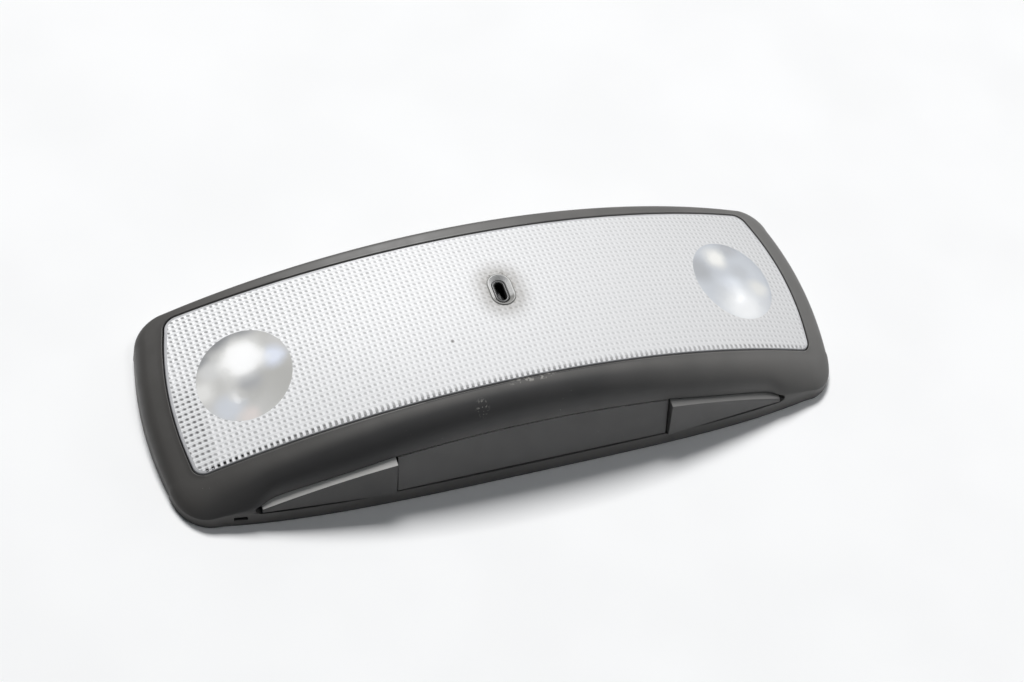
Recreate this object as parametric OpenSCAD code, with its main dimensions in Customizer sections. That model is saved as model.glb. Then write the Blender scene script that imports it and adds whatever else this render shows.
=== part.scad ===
// Car interior light for the rear roof: a crowned cover frame round a prismatic lens,
// with two clear reading windows, a sensor slot, two wedge keys and a flap switch.
// The lamp lies on its rim with the lens up. X runs along the lamp, -Y is the key side,
// Z points out of the roof into the cabin. The origin is the middle of the rim face.

/* [Body] */
// Half of the length at the rim
rim_half_length = 110.5; // [106:0.5:116]
// Distance from the middle to the rim on the key side
rim_near = 36.15; // [34:0.25:40]
// Distance from the middle to the rim on the far side
rim_far = 38; // [36:0.25:42]
// Height of the highest point of the lens
apex_height = 33.8; // [31:0.2:38]
// Place of the highest line of the lens, measured from the middle
apex_y = 12.2; // [8:0.2:16]
// Radius of the crown along the lamp
crown_r = 246; // [230:1:300]
// Radius of the crown across the lamp
cross_r = 160; // [120:1:260]
// Wall of the cover frame
wall = 2.2; // [1.8:0.1:2.8]
// Lean of the key side wall, in degrees
near_lean = 12.5; // [8:0.5:18]
// Lean of the other walls, in degrees
far_lean = 3; // [1:0.5:5]
// Corner radius of the rim on the key side
rim_near_r = 12.8; // [8:0.2:16]
// Corner radius of the rim on the far side
rim_far_r = 9; // [6:0.2:12]

/* [Lens] */
// Half of the lens length at its key side edge
lens_half_near = 100; // [96:0.5:102]
// Half of the lens length at its far edge
lens_half_far = 97.9; // [94:0.5:101]
// Distance from the middle to the lens edge on the key side
lens_near = 22; // [20:0.25:24]
// Distance from the middle to the lens edge on the far side
lens_far = 31; // [30:0.25:32]
// Corner radius of the lens
lens_corner_r = 4; // [2:0.25:6]
// Thickness of the lens between its prisms
lens_t = 1.6; // [1.2:0.1:2.4]
// Pitch of the prism rows
prism_pitch = 1.72; // [1.6:0.04:3]
// Depth of the prism rows
prism_depth = 0.5; // [0.2:0.05:0.8]
// Gap between the lens and the cover frame
lens_gap = 0.35; // [0.2:0.05:0.6]
// Height of the guide skirt under the lens edge
lens_skirt = 4.2; // [3:0.2:5]

/* [Reading lights] */
// Distance of each reading window from the middle, along the lamp
window_x = 80.4; // [76:0.2:82]
// Place of the reading windows across the lamp
window_y = 4.3; // [2:0.1:8]
// Radius of a reading window
window_r = 14.8; // [12:0.1:16]
// Depth of the step round a reading window
window_step = 0.5; // [0.2:0.1:0.8]
// Depth of the reflector bowl
bowl_depth = 9; // [7:0.25:9.5]
// Radius of the small bulb
small_bulb_r = 2.5; // [2:0.1:3]
// Wall of the reflectors
reflector_t = 1.2; // [0.8:0.1:1.6]

/* [Sensor slot] */
// Place of the sensor slot across the lamp
slot_y = 7.9; // [6:0.1:10]
// Length of the funnel round the slot
slot_length = 11.4; // [9:0.1:13]
// Width of the funnel round the slot
slot_width = 7.6; // [7:0.1:9]
// Length of the hole in the sensor sleeve
sleeve_hole_l = 8; // [6:0.1:9]
// Width of the hole in the sensor sleeve
sleeve_hole_w = 4.4; // [3:0.1:5]
// Wall of the sensor sleeve
sleeve_t = 0.75; // [0.6:0.05:1]

/* [Keys] */
// Half of the length of the flap switch
flap_half = 43.6; // [40:0.2:46]
// Height of the flap switch's lower edge
flap_bottom = 2.6; // [2.4:0.1:3.2]
// Height of the flap switch's upper edge in its middle
flap_top = 19; // [17:0.2:20]
// Drop of the upper edge from the middle to the ends of the flap
flap_arch = 2.5; // [1:0.1:4]
// Distance of each reading key's inner end from the middle
key_inner = 45; // [44.6:0.2:47]
// Distance of each reading key's outer end from the middle
key_outer = 85.5; // [82:0.5:88]
// Height of the reading key's lower edge
key_bottom = 1.6; // [1.5:0.1:2.4]
// Height of the reading key's upper edge at its inner end
key_top_inner = 15.9; // [14:0.1:17]
// Height of the reading key's upper edge at its outer end
key_top_outer = 8.4; // [8.2:0.1:9.4]
// Height of the reading key's pointed end
key_nose = 7.6; // [7.5:0.1:8]
// How far the reading key stands out of the wall's plane at its inner end
key_proud = 2.4; // [1.5:0.05:2.6]
// How far the reading key lies behind the wall's plane at its outer end
key_sunk = 0.6; // [0.4:0.05:1.2]
// Running gap round the keys
key_gap = 0.35; // [0.3:0.05:0.5]
// Running gap over the flap switch
flap_top_gap = 0.2; // [0.15:0.05:0.4]
// Thickness of the flap's front wall
key_t = 2.4; // [2:0.1:2.6]
// Thickness of the reading keys' front walls
wedge_t = 3.4; // [3:0.1:3.6]
// Radius of the pivot pins
pivot_r = 0.95; // [0.8:0.05:1.1]
// Radial clearance of the pivot pins
pivot_fit = 0.05; // [0.02:0.01:0.1]

/* [Rear cover and board] */
// Recess of the rear cover behind the rim
cover_recess = 0.4; // [0.3:0.1:0.8]
// Thickness of the rear cover
cover_t = 1.4; // [1.2:0.1:1.8]
// Gap between the rear cover and the frame
cover_gap = 0.3; // [0.2:0.05:0.5]
// Height of the circuit board's underside
board_z = 5.4; // [5.2:0.1:6.2]
// Thickness of the circuit board
board_t = 1.6; // [1:0.1:1.6]
// Half of the circuit board's length
board_half = 66; // [62:0.5:70]
// Radius of the threaded shank of the cover screws
screw_r = 1.4; // [1.2:0.1:1.6]
// Distance of the cover screws from the middle
screw_x = 90; // [89:0.5:91]
// Distance of the cover screws from the middle, across
screw_y = 25; // [24:0.25:25.5]

/* [Main light] */
// Distance of each festoon bulb's centre from the middle
festoon_x = 33.5; // [32:0.5:35]
// Half of the festoon bulb's overall length
festoon_half = 18; // [17:0.5:19]
// Radius of the festoon bulb's glass
festoon_r = 5; // [4:0.1:5.5]
// Height of the festoon bulb's axis
festoon_z = 17.5; // [16:0.1:19]

/* [Mounting] */
// Distance of each fixing hole from the middle
fixing_x = 62; // [58:0.5:64]
// Place of the fixing holes across the lamp
fixing_y = 21; // [20:0.5:23]
// Radius of the fixing holes
fixing_r = 2.2; // [2:0.1:2.6]

/* [Hidden] */
eps = 0.01;

// Shared places: the keys' posts and plungers, the board and the reflector bowls
plunger_z = 9.2;
key_post_x = 52;
key_post_deep = 4.8;
board_top = board_z + board_t;
board_near = 8.35 - rim_near;
board_far = 16;
cover_top = cover_recess + cover_t;
bowl_rim_r = window_r - 0.2;
neck_r = 4.6;
bowl_top = lens_t + 1.1;
flange_low = 1.7;

// Stations round the frame: along a long side, round a corner and along an end
long_steps = 22;
corner_steps = 6;
end_steps = 8;
// Points of the rounded shoulder in a section of the frame
shoulder_steps = 7;
inner_steps = 4;

// Height of the crowned face at a point, sunk by depth along its normal
function face_z(x, y, depth = 0) =
    sqrt(pow(crown_r - pow(y - apex_y, 2) / (2 * cross_r) - depth, 2) - x * x)
    + apex_height - crown_r;

// Slope of the crowned face along the lamp, in degrees, falling towards the end
function face_slope(x, y) =
    asin(x / (crown_r - pow(y - apex_y, 2) / (2 * cross_r)));

// Tilt of the crowned face across the lamp, in degrees, falling away from its highest line
function face_tilt(y) = atan((apex_y - y) / cross_r);

// An outline is [half length near, half length far, near y, far y, near bow,
// near curl, far bow, end bow, near corner radius, far corner radius]; the bows are measured
// at the distance bow_at from the middle
bow_at = rim_half_length - 10.5;
frame_outline = [rim_half_length - 5.9, rim_half_length - 5, -rim_near, rim_far, 0.42, 4.8,
    0.8, 5.45, rim_near_r, rim_far_r];
lens_far_bow = -2.9;
lens_outline = [lens_half_near, lens_half_far, -lens_near, lens_far, 1.5, 0,
    lens_far_bow, 3.4, lens_corner_r, lens_corner_r];

// The same outline moved outwards on every side
function grown(o, d) =
    [o[0] + d, o[1] + d, o[2] - d, o[3] + d, o[4], o[5], o[6], o[7], o[8] + d, o[9] + d];

// Sides of an outline
function near_y(o, x) = o[2] + o[4] * pow(x / bow_at, 2) + o[5] * pow(x / bow_at, 4);
function near_slope(o, x) = (2 * o[4] * x / bow_at + 4 * o[5] * pow(x / bow_at, 3)) / bow_at;
function far_y(o, x) = o[3] - o[6] * pow(x / bow_at, 2);
function far_slope(o, x) = 2 * o[6] * x / pow(bow_at, 2);
function end_share(o, y) = (y - o[2]) / (o[3] - o[2]);
function end_x(o, y) =
    o[0] + (o[1] - o[0]) * end_share(o, y) + 4 * o[7] * end_share(o, y) * (1 - end_share(o, y));
function end_slope(o, y) =
    (o[1] - o[0] + 4 * o[7] * (1 - 2 * end_share(o, y))) / (o[3] - o[2]);

// Corner centres on the right-hand end, with the angles where each arc starts and stops
function near_corner(o) =
    let (y = o[2] + o[4] + o[5] * 0.9 + o[8], x = end_x(o, y) - o[8])
    [x, near_y(o, x) + o[8], o[8], atan(near_slope(o, x)) - 90, -atan(end_slope(o, y))];
function far_corner(o) =
    let (y = o[3] - o[6] - o[9], x = end_x(o, y) - o[9])
    [x, far_y(o, x) - o[9], o[9], -atan(end_slope(o, y)), 90 - atan(far_slope(o, x))];
function corner_points(c) =
    [for (i = [0:corner_steps]) let (a = c[3] + (c[4] - c[3]) * i / corner_steps)
        [c[0] + c[2] * cos(a), c[1] + c[2] * sin(a)]];

// Right-hand half of the loop, from the middle of the near side to the middle of the far side
function half_loop(o) =
    let (n = near_corner(o), f = far_corner(o), half = long_steps / 2,
        y0 = n[1] + n[2] * sin(n[4]), y1 = f[1] + f[2] * sin(f[3]))
    concat(
        [for (i = [0:half - 1]) let (x = n[0] * i / half) [x, near_y(o, x)]],
        corner_points(n),
        [for (i = [1:end_steps - 1]) let (y = y0 + (y1 - y0) * i / end_steps)
            [end_x(o, y), y]],
        corner_points(f),
        [for (i = [1:half]) let (x = f[0] * (1 - i / half)) [x, far_y(o, x)]]);

// The whole loop, anticlockwise seen from above
function loop(o) =
    let (h = half_loop(o), n = len(h))
    concat(h, [for (i = [n - 2:-1:1]) [-h[i][0], h[i][1]]]);

// Share of the far side in the section of a station: 0 near, 1 end, 2 far
half_count = long_steps + end_steps + 2 * corner_steps + 1;
function side_of(i) =
    let (near_last = long_steps / 2, end_first = near_last + corner_steps,
        end_last = end_first + end_steps, far_first = end_last + corner_steps)
    i <= near_last ? 0
    : i < end_first ? (i - near_last) / corner_steps
    : i <= end_last ? 1
    : i < far_first ? 1 + (i - end_last) / corner_steps
    : 2;
function folded(i) = i < half_count ? i : 2 * half_count - 2 - i;
function by_side(values, s) = s <= 1
    ? values[0] + (values[1] - values[0]) * s
    : values[1] + (values[2] - values[1]) * (s - 1);

// Shoulder of the section on the near side, the ends and the far side: length of the
// rounding on the face, and its length on the wall as a share of the wall's height
shoulder_on_face = [6.6, 3.6, 1.8];
shoulder_on_wall = [0.42, 0.42, 0.07];
function wall_share(x, side) = side > 0
    ? by_side(shoulder_on_wall, side)
    : shoulder_on_wall[0] + 0.14 * (1 - min(1, max(0, (abs(x) - 50) / 40)));
leans = [near_lean, far_lean, far_lean];

function mix(a, b, t) = a + (b - a) * t;
function bezier(a, b, c, t) = mix(mix(a, b, t), mix(b, c, t), t);

// Point over a station: s along the way out from the lens edge, z up
function over(p, way, s, z) = [p[0] + way[0] * s, p[1] + way[1] * s, z];

// Where the crowned face would meet the leaning wall: [s, z]
function meeting(p, way, reach, lean, depth, s, n) =
    let (z = face_z(p[0] + way[0] * s, p[1] + way[1] * s, depth))
    n == 0 ? [s, z] : meeting(p, way, reach, lean, depth, reach - z * tan(lean), n - 1);

// Rounded shoulder of one skin of the section, as [s, z] points
function shoulder(p, way, reach, side, depth, steps) =
    let (lean = by_side(leans, side), r = reach - depth / cos(lean),
        q = meeting(p, way, r, lean, depth, r - 1, 5),
        s0 = max(q[0] - by_side(shoulder_on_face, side), 0.6),
        start = [s0, face_z(p[0] + way[0] * s0, p[1] + way[1] * s0, depth)],
        stop_z = q[1] * (1 - wall_share(p[0], side)),
        stop = [r - stop_z * tan(lean), stop_z])
    [for (i = [0:steps]) bezier(start, q, stop, i / steps)];

// Section ring of the frame at one station, from the lens edge out, down and back inside
lens_opening = grown(lens_outline, lens_gap);
function frame_section(p, rim, side) =
    let (out = rim - p, reach = norm(out), way = out / reach, lean = by_side(leans, side),
        outer = shoulder(p, way, reach, side, 0, shoulder_steps),
        inner = shoulder(p, way, reach, side, wall, inner_steps),
        rim_wall = wall / cos(lean))
    concat(
        [over(p, way, 0, face_z(p[0], p[1], 0))],
        [for (q = outer) over(p, way, q[0], q[1])],
        [over(p, way, reach, 0), over(p, way, reach - rim_wall, 0)],
        [for (i = [inner_steps:-1:0]) over(p, way, inner[i][0], inner[i][1])],
        [over(p, way, 0, face_z(p[0], p[1], wall))]);

// Closed ring swept through every station
module swept_ring(sections) {
    stations = len(sections);
    count = len(sections[0]);
    points = [for (s = sections) each s];
    faces = [for (i = [0:stations - 1], j = [0:count - 1])
        let (a = i * count, b = (i + 1) % stations * count, k = (j + 1) % count)
        each [[a + j, b + j, b + k], [a + j, b + k, a + k]]];
    polyhedron(points = points, faces = faces, convexity = 8);
}

// Ring round the Y axis of the crown, from a drawing of [radius, -y]
module crown_sweep(angle = 60) {
    translate([0, 0, apex_height - crown_r])
        rotate([90, 0, 0])
            rotate([0, 0, 90 - angle / 2])
                rotate_extrude(angle = angle, $fn = 180)
                    children();
}

// Strip under the crowned face between two depths and two places across
function arc_y(y0, y1, steps) = [for (i = [0:steps]) y0 + (y1 - y0) * i / steps];
function face_r(y, depth) = crown_r - pow(y - apex_y, 2) / (2 * cross_r) - depth;
module face_strip(y0, y1, top, bottom, steps = 12) {
    ys = arc_y(y0, y1, steps);
    crown_sweep()
        polygon(concat(
            [for (y = ys) [face_r(y, top), -y]],
            [for (i = [steps:-1:0]) [face_r(ys[i], bottom), -ys[i]]]));
}

// Frame of a place on the crowned face: +Z along the normal, origin on the face
module on_face(x, y) {
    translate([x, y, face_z(x, y)])
        rotate([0, face_slope(x, y), 0])
            rotate([face_tilt(y), 0, 0])
                children();
}

// Frame of the key side wall: X along the lamp, Y up the wall, Z out of the wall
module on_wall() {
    translate([0, -rim_near, 0])
        rotate([90 - near_lean, 0, 0])
            children();
}
function up_wall(z) = z / cos(near_lean);

module obround(length, width) {
    hull()
        for (side = [-1, 1])
            translate([0, side * (length - width) / 2])
                circle(d = width, $fn = 32);
}

// Slot-shaped prism made of a box and two round ends
module round_slot(length, width, height) {
    translate([-width / 2, -(length - width) / 2, 0])
        cube([width, length - width, height]);
    for (side = [-1, 1])
        translate([0, side * (length - width) / 2, 0])
            cylinder(d = width, h = height, $fn = 48);
}

// Front outlines of the keys on the wall, grown by a gap
flap_arch_r = (pow(flap_half, 2) + pow(flap_arch, 2)) / (2 * flap_arch);
module flap_opening() {
    intersection() {
        translate([-flap_half - key_gap, up_wall(flap_bottom) - key_gap])
            square([2 * (flap_half + key_gap), up_wall(flap_top)]);
        translate([0, up_wall(flap_top) - flap_arch_r])
            circle(r = flap_arch_r + flap_top_gap, $fn = 720);
    }
}

module key_front(gap) {
    polygon([
        [key_inner - gap, up_wall(key_bottom) - gap],
        [key_outer + gap, up_wall(key_bottom) - gap],
        [key_outer + gap, up_wall(key_nose) + gap / 2],
        [key_outer - 3 + gap / 2, up_wall(key_top_outer) + gap],
        [key_inner - gap, up_wall(key_top_inner) + gap]]);
}

// Long opening for all three keys in the key side wall
window_deep = 5.2;
module key_opening() {
    on_wall()
        translate([0, 0, -window_deep])
            linear_extrude(window_deep + 6) {
                flap_opening();
                for (side = [0, 1])
                    mirror([side, 0]) {
                        key_front(key_gap);
                        translate([flap_half, up_wall(flap_bottom) - key_gap])
                            square([key_inner - flap_half, up_wall(key_top_inner - flap_bottom)]);
                        translate([key_outer + 0.3, up_wall(key_nose)])
                            circle(r = 1, $fn = 24);
                    }
            }
}

// Pivot of a reading key: a line up the wall near its outer end, behind the wall's skin
key_pivot_x = key_outer - 2.2;
key_pivot_deep = 7.6;
key_arm_up = 6.4;
key_arm_t = 1.5;
// Guide pins of the flap, square to the wall, and the towers that they slide in
guide_x = 39;
guide_up = 4.9;
guide_end = 5.8;
guide_tower_deep = [4, 7.1];

module bezel() {
    lens_loop = loop(lens_opening);
    rim_loop = loop(frame_outline);
    sections = [for (i = [0:len(lens_loop) - 1])
        frame_section(lens_loop[i], rim_loop[i], side_of(folded(i)))];
    color("dimgray")
        difference() {
            union() {
                swept_ring(sections);
                for (side = [-1, 1])
                    screw_boss(side);
            }
            key_opening();
            for (side = [-1, 1])
                translate([side * screw_x, -screw_y, 0])
                    cylinder(r = screw_r + 0.05, h = boss_top - 0.6, $fn = 24);
            for (x = tongue_places)
                translate([x - tongue_w / 2 - cover_gap, 0, 0])
                    translate([0, rim_far - wall - 2, cover_recess - eps])
                        cube([tongue_w + 2 * cover_gap, 2 + tongue_in, cover_t + cover_gap]);
            pry_notch();
        }
}

// Boss for a cover screw, hanging from the shoulder of the frame
boss_bottom = 3.2;
boss_top = 10;
module screw_boss(side) {
    translate([side * screw_x, -screw_y, boss_bottom])
        cylinder(r = 2.6, h = boss_top - boss_bottom, $fn = 32);
}

// Small notch under the rim near the left-hand corner
module pry_notch() {
    translate([-92.5, near_y(frame_outline, 90) - 3, -eps])
        cube([4, 4.2, 1]);
}

module lens() {
    color("gainsboro")
        difference() {
            union() {
                intersection() {
                    prismatic_sheet();
                    outline_prism(lens_outline);
                }
                lens_rim();
                slot_collar();
            }
            for (side = [-1, 1]) {
                window_cut(side, window_r, -2, window_step);
                window_cut(side, window_r + window_clear, lens_t, lens_skirt + 2);
            }
            slot_funnel();
        }
}

// Round cut of a reading window between two depths under the crowned face
window_clear = 1.2;
module window_cut(side, r, top, bottom) {
    intersection() {
        on_face(side * window_x, window_y)
            translate([0, 0, -12])
                cylinder(r = r, h = 18, $fn = 96);
        face_strip(window_y - r - 2, window_y + r + 2, top, bottom);
    }
}

// Crowned sheet with rows of prisms along its underside
module prismatic_sheet() {
    y0 = -lens_near - 2;
    rows = ceil((lens_far - lens_far_bow + lens_near + 4) / prism_pitch);
    top_steps = 14;
    y1 = y0 + rows * prism_pitch;
    crown_sweep()
        polygon(concat(
            [for (y = arc_y(y0, y1, top_steps)) [face_r(y, 0), -y]],
            [for (i = [2 * rows:-1:0]) let (y = y0 + i * prism_pitch / 2)
                [face_r(y, lens_t + (i % 2) * prism_depth), -y]]));
}

// Upright prism of an outline, high enough for the whole lamp
module outline_prism(o) {
    linear_extrude(apex_height + 5)
        polygon(loop(o));
}

// Skirt that guides the lens in the opening, with snap lips under the frame
lip_w = 8;
module lens_rim() {
    intersection() {
        face_strip(-lens_near - 2, lens_far - lens_far_bow + 1, lens_t, lens_skirt);
        difference() {
            outline_prism(lens_outline);
            translate([0, 0, -1])
                outline_prism(grown(lens_outline, -1.2));
        }
    }
    for (x = [-60, 0, 60]) {
        lip(x, -near_y(lens_outline, x), -1);
        lip(x, far_y(lens_outline, x), 1);
    }
}
module lip(x, y, side) {
    reach = 0.9;
    intersection() {
        face_strip(side < 0 ? -lens_near - 3 : lens_far - 1, side < 0 ? -lens_near + 1 : lens_far + 3,
            wall + 0.3, lens_skirt);
        translate([x - lip_w / 2, side > 0 ? y - 0.6 : -y - reach, 0])
            cube([lip_w, 0.6 + reach, apex_height]);
    }
}

// Raised collar of the sensor slot, with a bevel down to the sleeve
collar_up = 0.3;
collar_rim = 0.3;
funnel_deep = 2.4;
module slot_collar() {
    on_face(0, slot_y)
        translate([0, 0, -funnel_deep])
            round_slot(slot_length, slot_width, funnel_deep + collar_up);
}
module slot_funnel() {
    rows = 3;
    bevel = (slot_width - sleeve_hole_w) / 2 - sleeve_t - collar_rim - 0.3;
    on_face(0, slot_y) {
        for (i = [0:rows - 1])
            translate([0, 0, collar_up - bevel * (i + 1) / rows])
                round_slot(slot_length - 2 * (collar_rim + bevel * i / rows),
                    slot_width - 2 * (collar_rim + bevel * i / rows), 2);
        translate([0, 0, -funnel_deep - 1])
            round_slot(slot_length - 2 * (collar_rim + bevel),
                slot_width - 2 * (collar_rim + bevel), 6);
    }
}

// Places and sizes of the tongues that hold the rear cover's far edge
tongue_places = [-70, 0, 70];
tongue_w = 12;
tongue_in = 1.3;

cover_inset = wall / cos(near_lean) + cover_top * tan(near_lean) + cover_gap;
cover_outline = grown(frame_outline, -cover_inset);

module back_housing() {
    color("silver")
        difference() {
            union() {
                translate([0, 0, cover_recess])
                    linear_extrude(cover_t)
                        polygon(loop(cover_outline));
                for (x = tongue_places)
                    translate([x - tongue_w / 2, rim_far - wall - 3, cover_recess + 0.1])
                        cube([tongue_w, 3 + tongue_in - 0.3, cover_t - 0.2]);
                for (x = [-1, 1]) {
                    translate([x * screw_x, -screw_y, cover_recess])
                        cylinder(r = 4, h = boss_bottom - cover_recess, $fn = 40);
                    for (y = [-1, 1])
                        translate([x * post_x, window_y + y * post_y, cover_recess])
                            cylinder(r = post_r, h = post_top(y) - cover_recess, $fn = 24);
                    for (y = board_posts_y)
                        translate([x * board_post_x, y, cover_recess])
                            cylinder(r = 2.4, h = board_z - cover_recess, $fn = 24);
                    translate([x * fixing_x, fixing_y, cover_recess])
                        cylinder(r = fixing_r + 2.4, h = fixing_pad - cover_recess, $fn = 40);
                }
                translate([-rib_half, 29.5, cover_recess])
                    cube([2 * rib_half, rib_t, cover_t + 1.6]);
                for (x = [-bow_at, bow_at])
                    translate([x - rib_t / 2, -16, cover_recess])
                        cube([rib_t, 45, cover_t + 1.6]);
                for (side = [0, 1])
                    mirror([side, 0, 0])
                        key_towers();
            }
            for (x = [-1, 1]) {
                translate([x * screw_x, -screw_y, 0]) {
                    translate([0, 0, -eps])
                        cylinder(r = 3.1, h = screw_seat + eps, $fn = 40);
                    cylinder(r = screw_r + 0.25, h = 20, $fn = 32);
                }
                translate([x * fixing_x, fixing_y, -eps])
                    cylinder(r = fixing_r, h = 20, $fn = 40);
                translate([x * clip_x - clip_w / 2 - 0.4, clip_y - 1.2, -eps])
                    cube([clip_w + 0.8, 2.4, cover_top + 4]);
            }
            translate([header_x - header_l / 2 - cover_gap, header_y - header_w / 2 - cover_gap, -eps])
                cube([header_l + 2 * cover_gap, header_w + 2 * cover_gap, 10]);
        }
}
rib_t = 1.2;
rib_half = rim_half_length - 12.5;

// Posts under the flange of a reflector, cut level under the lowest point of their tops
post_x = 77;
post_y = 16.4;
post_r = 1.6;
flange_drop = bowl_top + flange_low + reflector_t;
flange_slope = face_slope(window_x, window_y);
flange_tilt = face_tilt(window_y);
function flange_z(x, y) =
    let (nx = sin(flange_slope), ny = -tan(flange_tilt), nz = cos(flange_slope),
        n = sqrt(nx * nx + ny * ny + nz * nz), d = flange_drop / n)
    face_z(window_x, window_y) - nz * d
    - (nx * (x - window_x + nx * d) + ny * (y - window_y + ny * d)) / nz;
function post_top(side) =
    flange_z(post_x + post_r, window_y + side * post_y) - post_r * tan(flange_tilt) - 0.05;

// Towers that guide the flap and carry the pivot pin of a reading key
tower_half = 1.9;
guide_tower_top = 5.3;
module key_towers() {
    y0 = -rim_near + guide_up * sin(near_lean) + guide_tower_deep[0] * cos(near_lean);
    y1 = -rim_near + guide_up * sin(near_lean) + guide_tower_deep[1] * cos(near_lean);
    difference() {
        translate([guide_x - tower_half, y0, cover_recess])
            cube([2 * tower_half, y1 - y0, guide_tower_top - cover_recess]);
        on_wall()
            translate([guide_x, guide_up, -12])
                cylinder(r = pivot_r + pivot_fit, h = 12, $fn = 32);
    }
    key_y = -rim_near + key_arm_up * sin(near_lean) + key_pivot_deep * cos(near_lean);
    difference() {
        translate([key_pivot_x, key_y - 0.4, cover_recess])
            cylinder(r = 2.2, h = key_tower_top - cover_recess, $fn = 32);
        on_wall()
            translate([key_pivot_x, key_arm_up, -key_pivot_deep])
                rotate([90, 0, 0])
                    cylinder(r = pivot_r + pivot_fit, h = key_pin_length + 0.4, $fn = 32);
    }
}
key_pin_length = 2.2;
key_tower_top = key_arm_up * cos(near_lean) - key_pivot_deep * sin(near_lean) - 0.9;
board_post_x = 60;
board_posts_y = [-23, 0];
fixing_pad = 4.4;
screw_seat = 1.8;

// Reading key: a wedge that stands proud at its inner end and sinks into the wall outwards
function key_out(x) =
    key_proud - (key_proud + key_sunk) * (x - key_inner) / (key_outer - key_inner);
post_up = (plunger_z + key_post_deep * sin(near_lean)) / cos(near_lean);
module reading_key() {
    intersection() {
        on_wall()
            translate([0, 0, -8])
                linear_extrude(12)
                    key_front(0);
        on_wall()
            translate([0, up_wall(30), 0])
                rotate([90, 0, 0])
                    linear_extrude(up_wall(40))
                        polygon([
                            [key_inner, key_out(key_inner)],
                            [key_outer, key_out(key_outer)],
                            [key_outer, key_out(key_outer) - wedge_t],
                            [key_inner, key_out(key_inner) - wedge_t]]);
    }
    on_wall() {
        translate([key_post_x - 1.2, post_up - 1.5, -key_post_deep])
            cube([2.4, 3, key_post_deep + key_out(key_post_x) - wedge_t + 0.5]);
        translate([key_pivot_x - 1.6, key_arm_up, -key_pivot_deep - 1.6])
            cube([3.2, key_arm_t, key_pivot_deep + 1.6 + key_out(key_pivot_x) - wedge_t + 0.5]);
        translate([key_pivot_x, key_arm_up + eps, -key_pivot_deep])
            rotate([90, 0, 0])
                cylinder(r = pivot_r, h = key_pin_length, $fn = 32);
    }
}

module left_reading_button() {
    color("darkslategray")
        mirror([1, 0, 0])
            reading_key();
}
module right_reading_button() {
    color("darkslategray")
        reading_key();
}

// Flap switch: a long arched front with a bevelled upper edge, pushed straight in
flap_proud = 0.35;
flap_bevel = 0.2;
module main_light_switch() {
    arch_y = up_wall(flap_top) - flap_arch_r;
    color("darkslategray") {
        on_wall()
            intersection() {
                translate([-flap_half, up_wall(flap_bottom), -key_t])
                    cube([2 * flap_half, up_wall(flap_top), key_t + flap_proud]);
                translate([0, arch_y, -key_t]) {
                    cylinder(r = flap_arch_r, h = key_t + flap_proud - flap_bevel, $fn = 720);
                    translate([0, 0, key_t + flap_proud - flap_bevel])
                        cylinder(r1 = flap_arch_r, r2 = flap_arch_r - flap_bevel,
                            h = flap_bevel, $fn = 720);
                }
            }
        on_wall() {
            translate([-1.2, post_up - 1.5, -key_post_deep])
                cube([2.4, 3, key_post_deep - key_t + 0.5]);
            for (side = [-1, 1])
                translate([side * guide_x, guide_up, -guide_end])
                    cylinder(r = pivot_r, h = guide_end - key_t + 0.5, $fn = 32);
        }
    }
}

// Bowl reflector of a reading light, its axis along the normal of the window
module reading_reflector() {
    steps = 10;
    inner = [for (i = [0:steps])
        [neck_r + (bowl_rim_r - neck_r) * i / steps, -bowl_depth * (1 - pow(i / steps, 1.8))]];
    outer_r = bowl_rim_r + reflector_t * 0.7;
    rotate_extrude($fn = 96)
        polygon(concat(
            inner,
            [[outer_r, 0], [outer_r, -flange_low], [outer_r + 2.4, -flange_low],
                [outer_r + 2.4, -flange_low - reflector_t]],
            [for (i = [steps - 1:-1:0])
                [inner[i][0] + reflector_t * 0.8, inner[i][1] - reflector_t]],
            [[neck_r + reflector_t * 0.8, -bowl_depth - 2.6], [neck_r, -bowl_depth - 2.6]]));
}
module at_window(side) {
    on_face(side * window_x, window_y)
        translate([0, 0, -bowl_top])
            children();
}
module left_reading_reflector() {
    color("lightgray") at_window(-1) reading_reflector();
}
module right_reading_reflector() {
    color("lightgray") at_window(1) reading_reflector();
}

// Small wedge-base bulb: a glass tube with a round tip, pinched flat at its base
bulb_tip = 1.6;
module small_bulb() {
    straight = bowl_depth - bulb_tip - small_bulb_r;
    translate([0, 0, -bowl_depth])
        cylinder(r = small_bulb_r, h = straight, $fn = 32);
    translate([0, 0, -bowl_depth + straight])
        intersection() {
            sphere(r = small_bulb_r, $fn = 32);
            cylinder(r = small_bulb_r + 1, h = small_bulb_r + 1, $fn = 32);
        }
    translate([-small_bulb_r * 0.9, -0.9, -bowl_depth - 3.4])
        cube([small_bulb_r * 1.8, 1.8, 3.4 + eps]);
}
module left_reading_bulb() {
    color("white") at_window(-1) small_bulb();
}
module right_reading_bulb() {
    color("white") at_window(1) small_bulb();
}

// Holder that plugs into the neck of the reflector from behind
module bulb_holder() {
    top = -bowl_depth - 0.3;
    difference() {
        union() {
            translate([0, 0, -bowl_depth - 2.9])
                cylinder(r = neck_r - 0.3, h = 2.6, $fn = 40);
            translate([0, 0, -bowl_depth - 4.6])
                cylinder(r = neck_r + 0.9, h = 1.7, $fn = 40);
        }
        translate([-small_bulb_r * 0.9 - 0.15, -1.05, -bowl_depth - 3.7])
            cube([small_bulb_r * 1.8 + 0.3, 2.1, 3.7 + top + bowl_depth + 1]);
    }
}
module left_bulb_holder() {
    color("ivory") at_window(-1) bulb_holder();
}
module right_bulb_holder() {
    color("ivory") at_window(1) bulb_holder();
}

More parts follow.
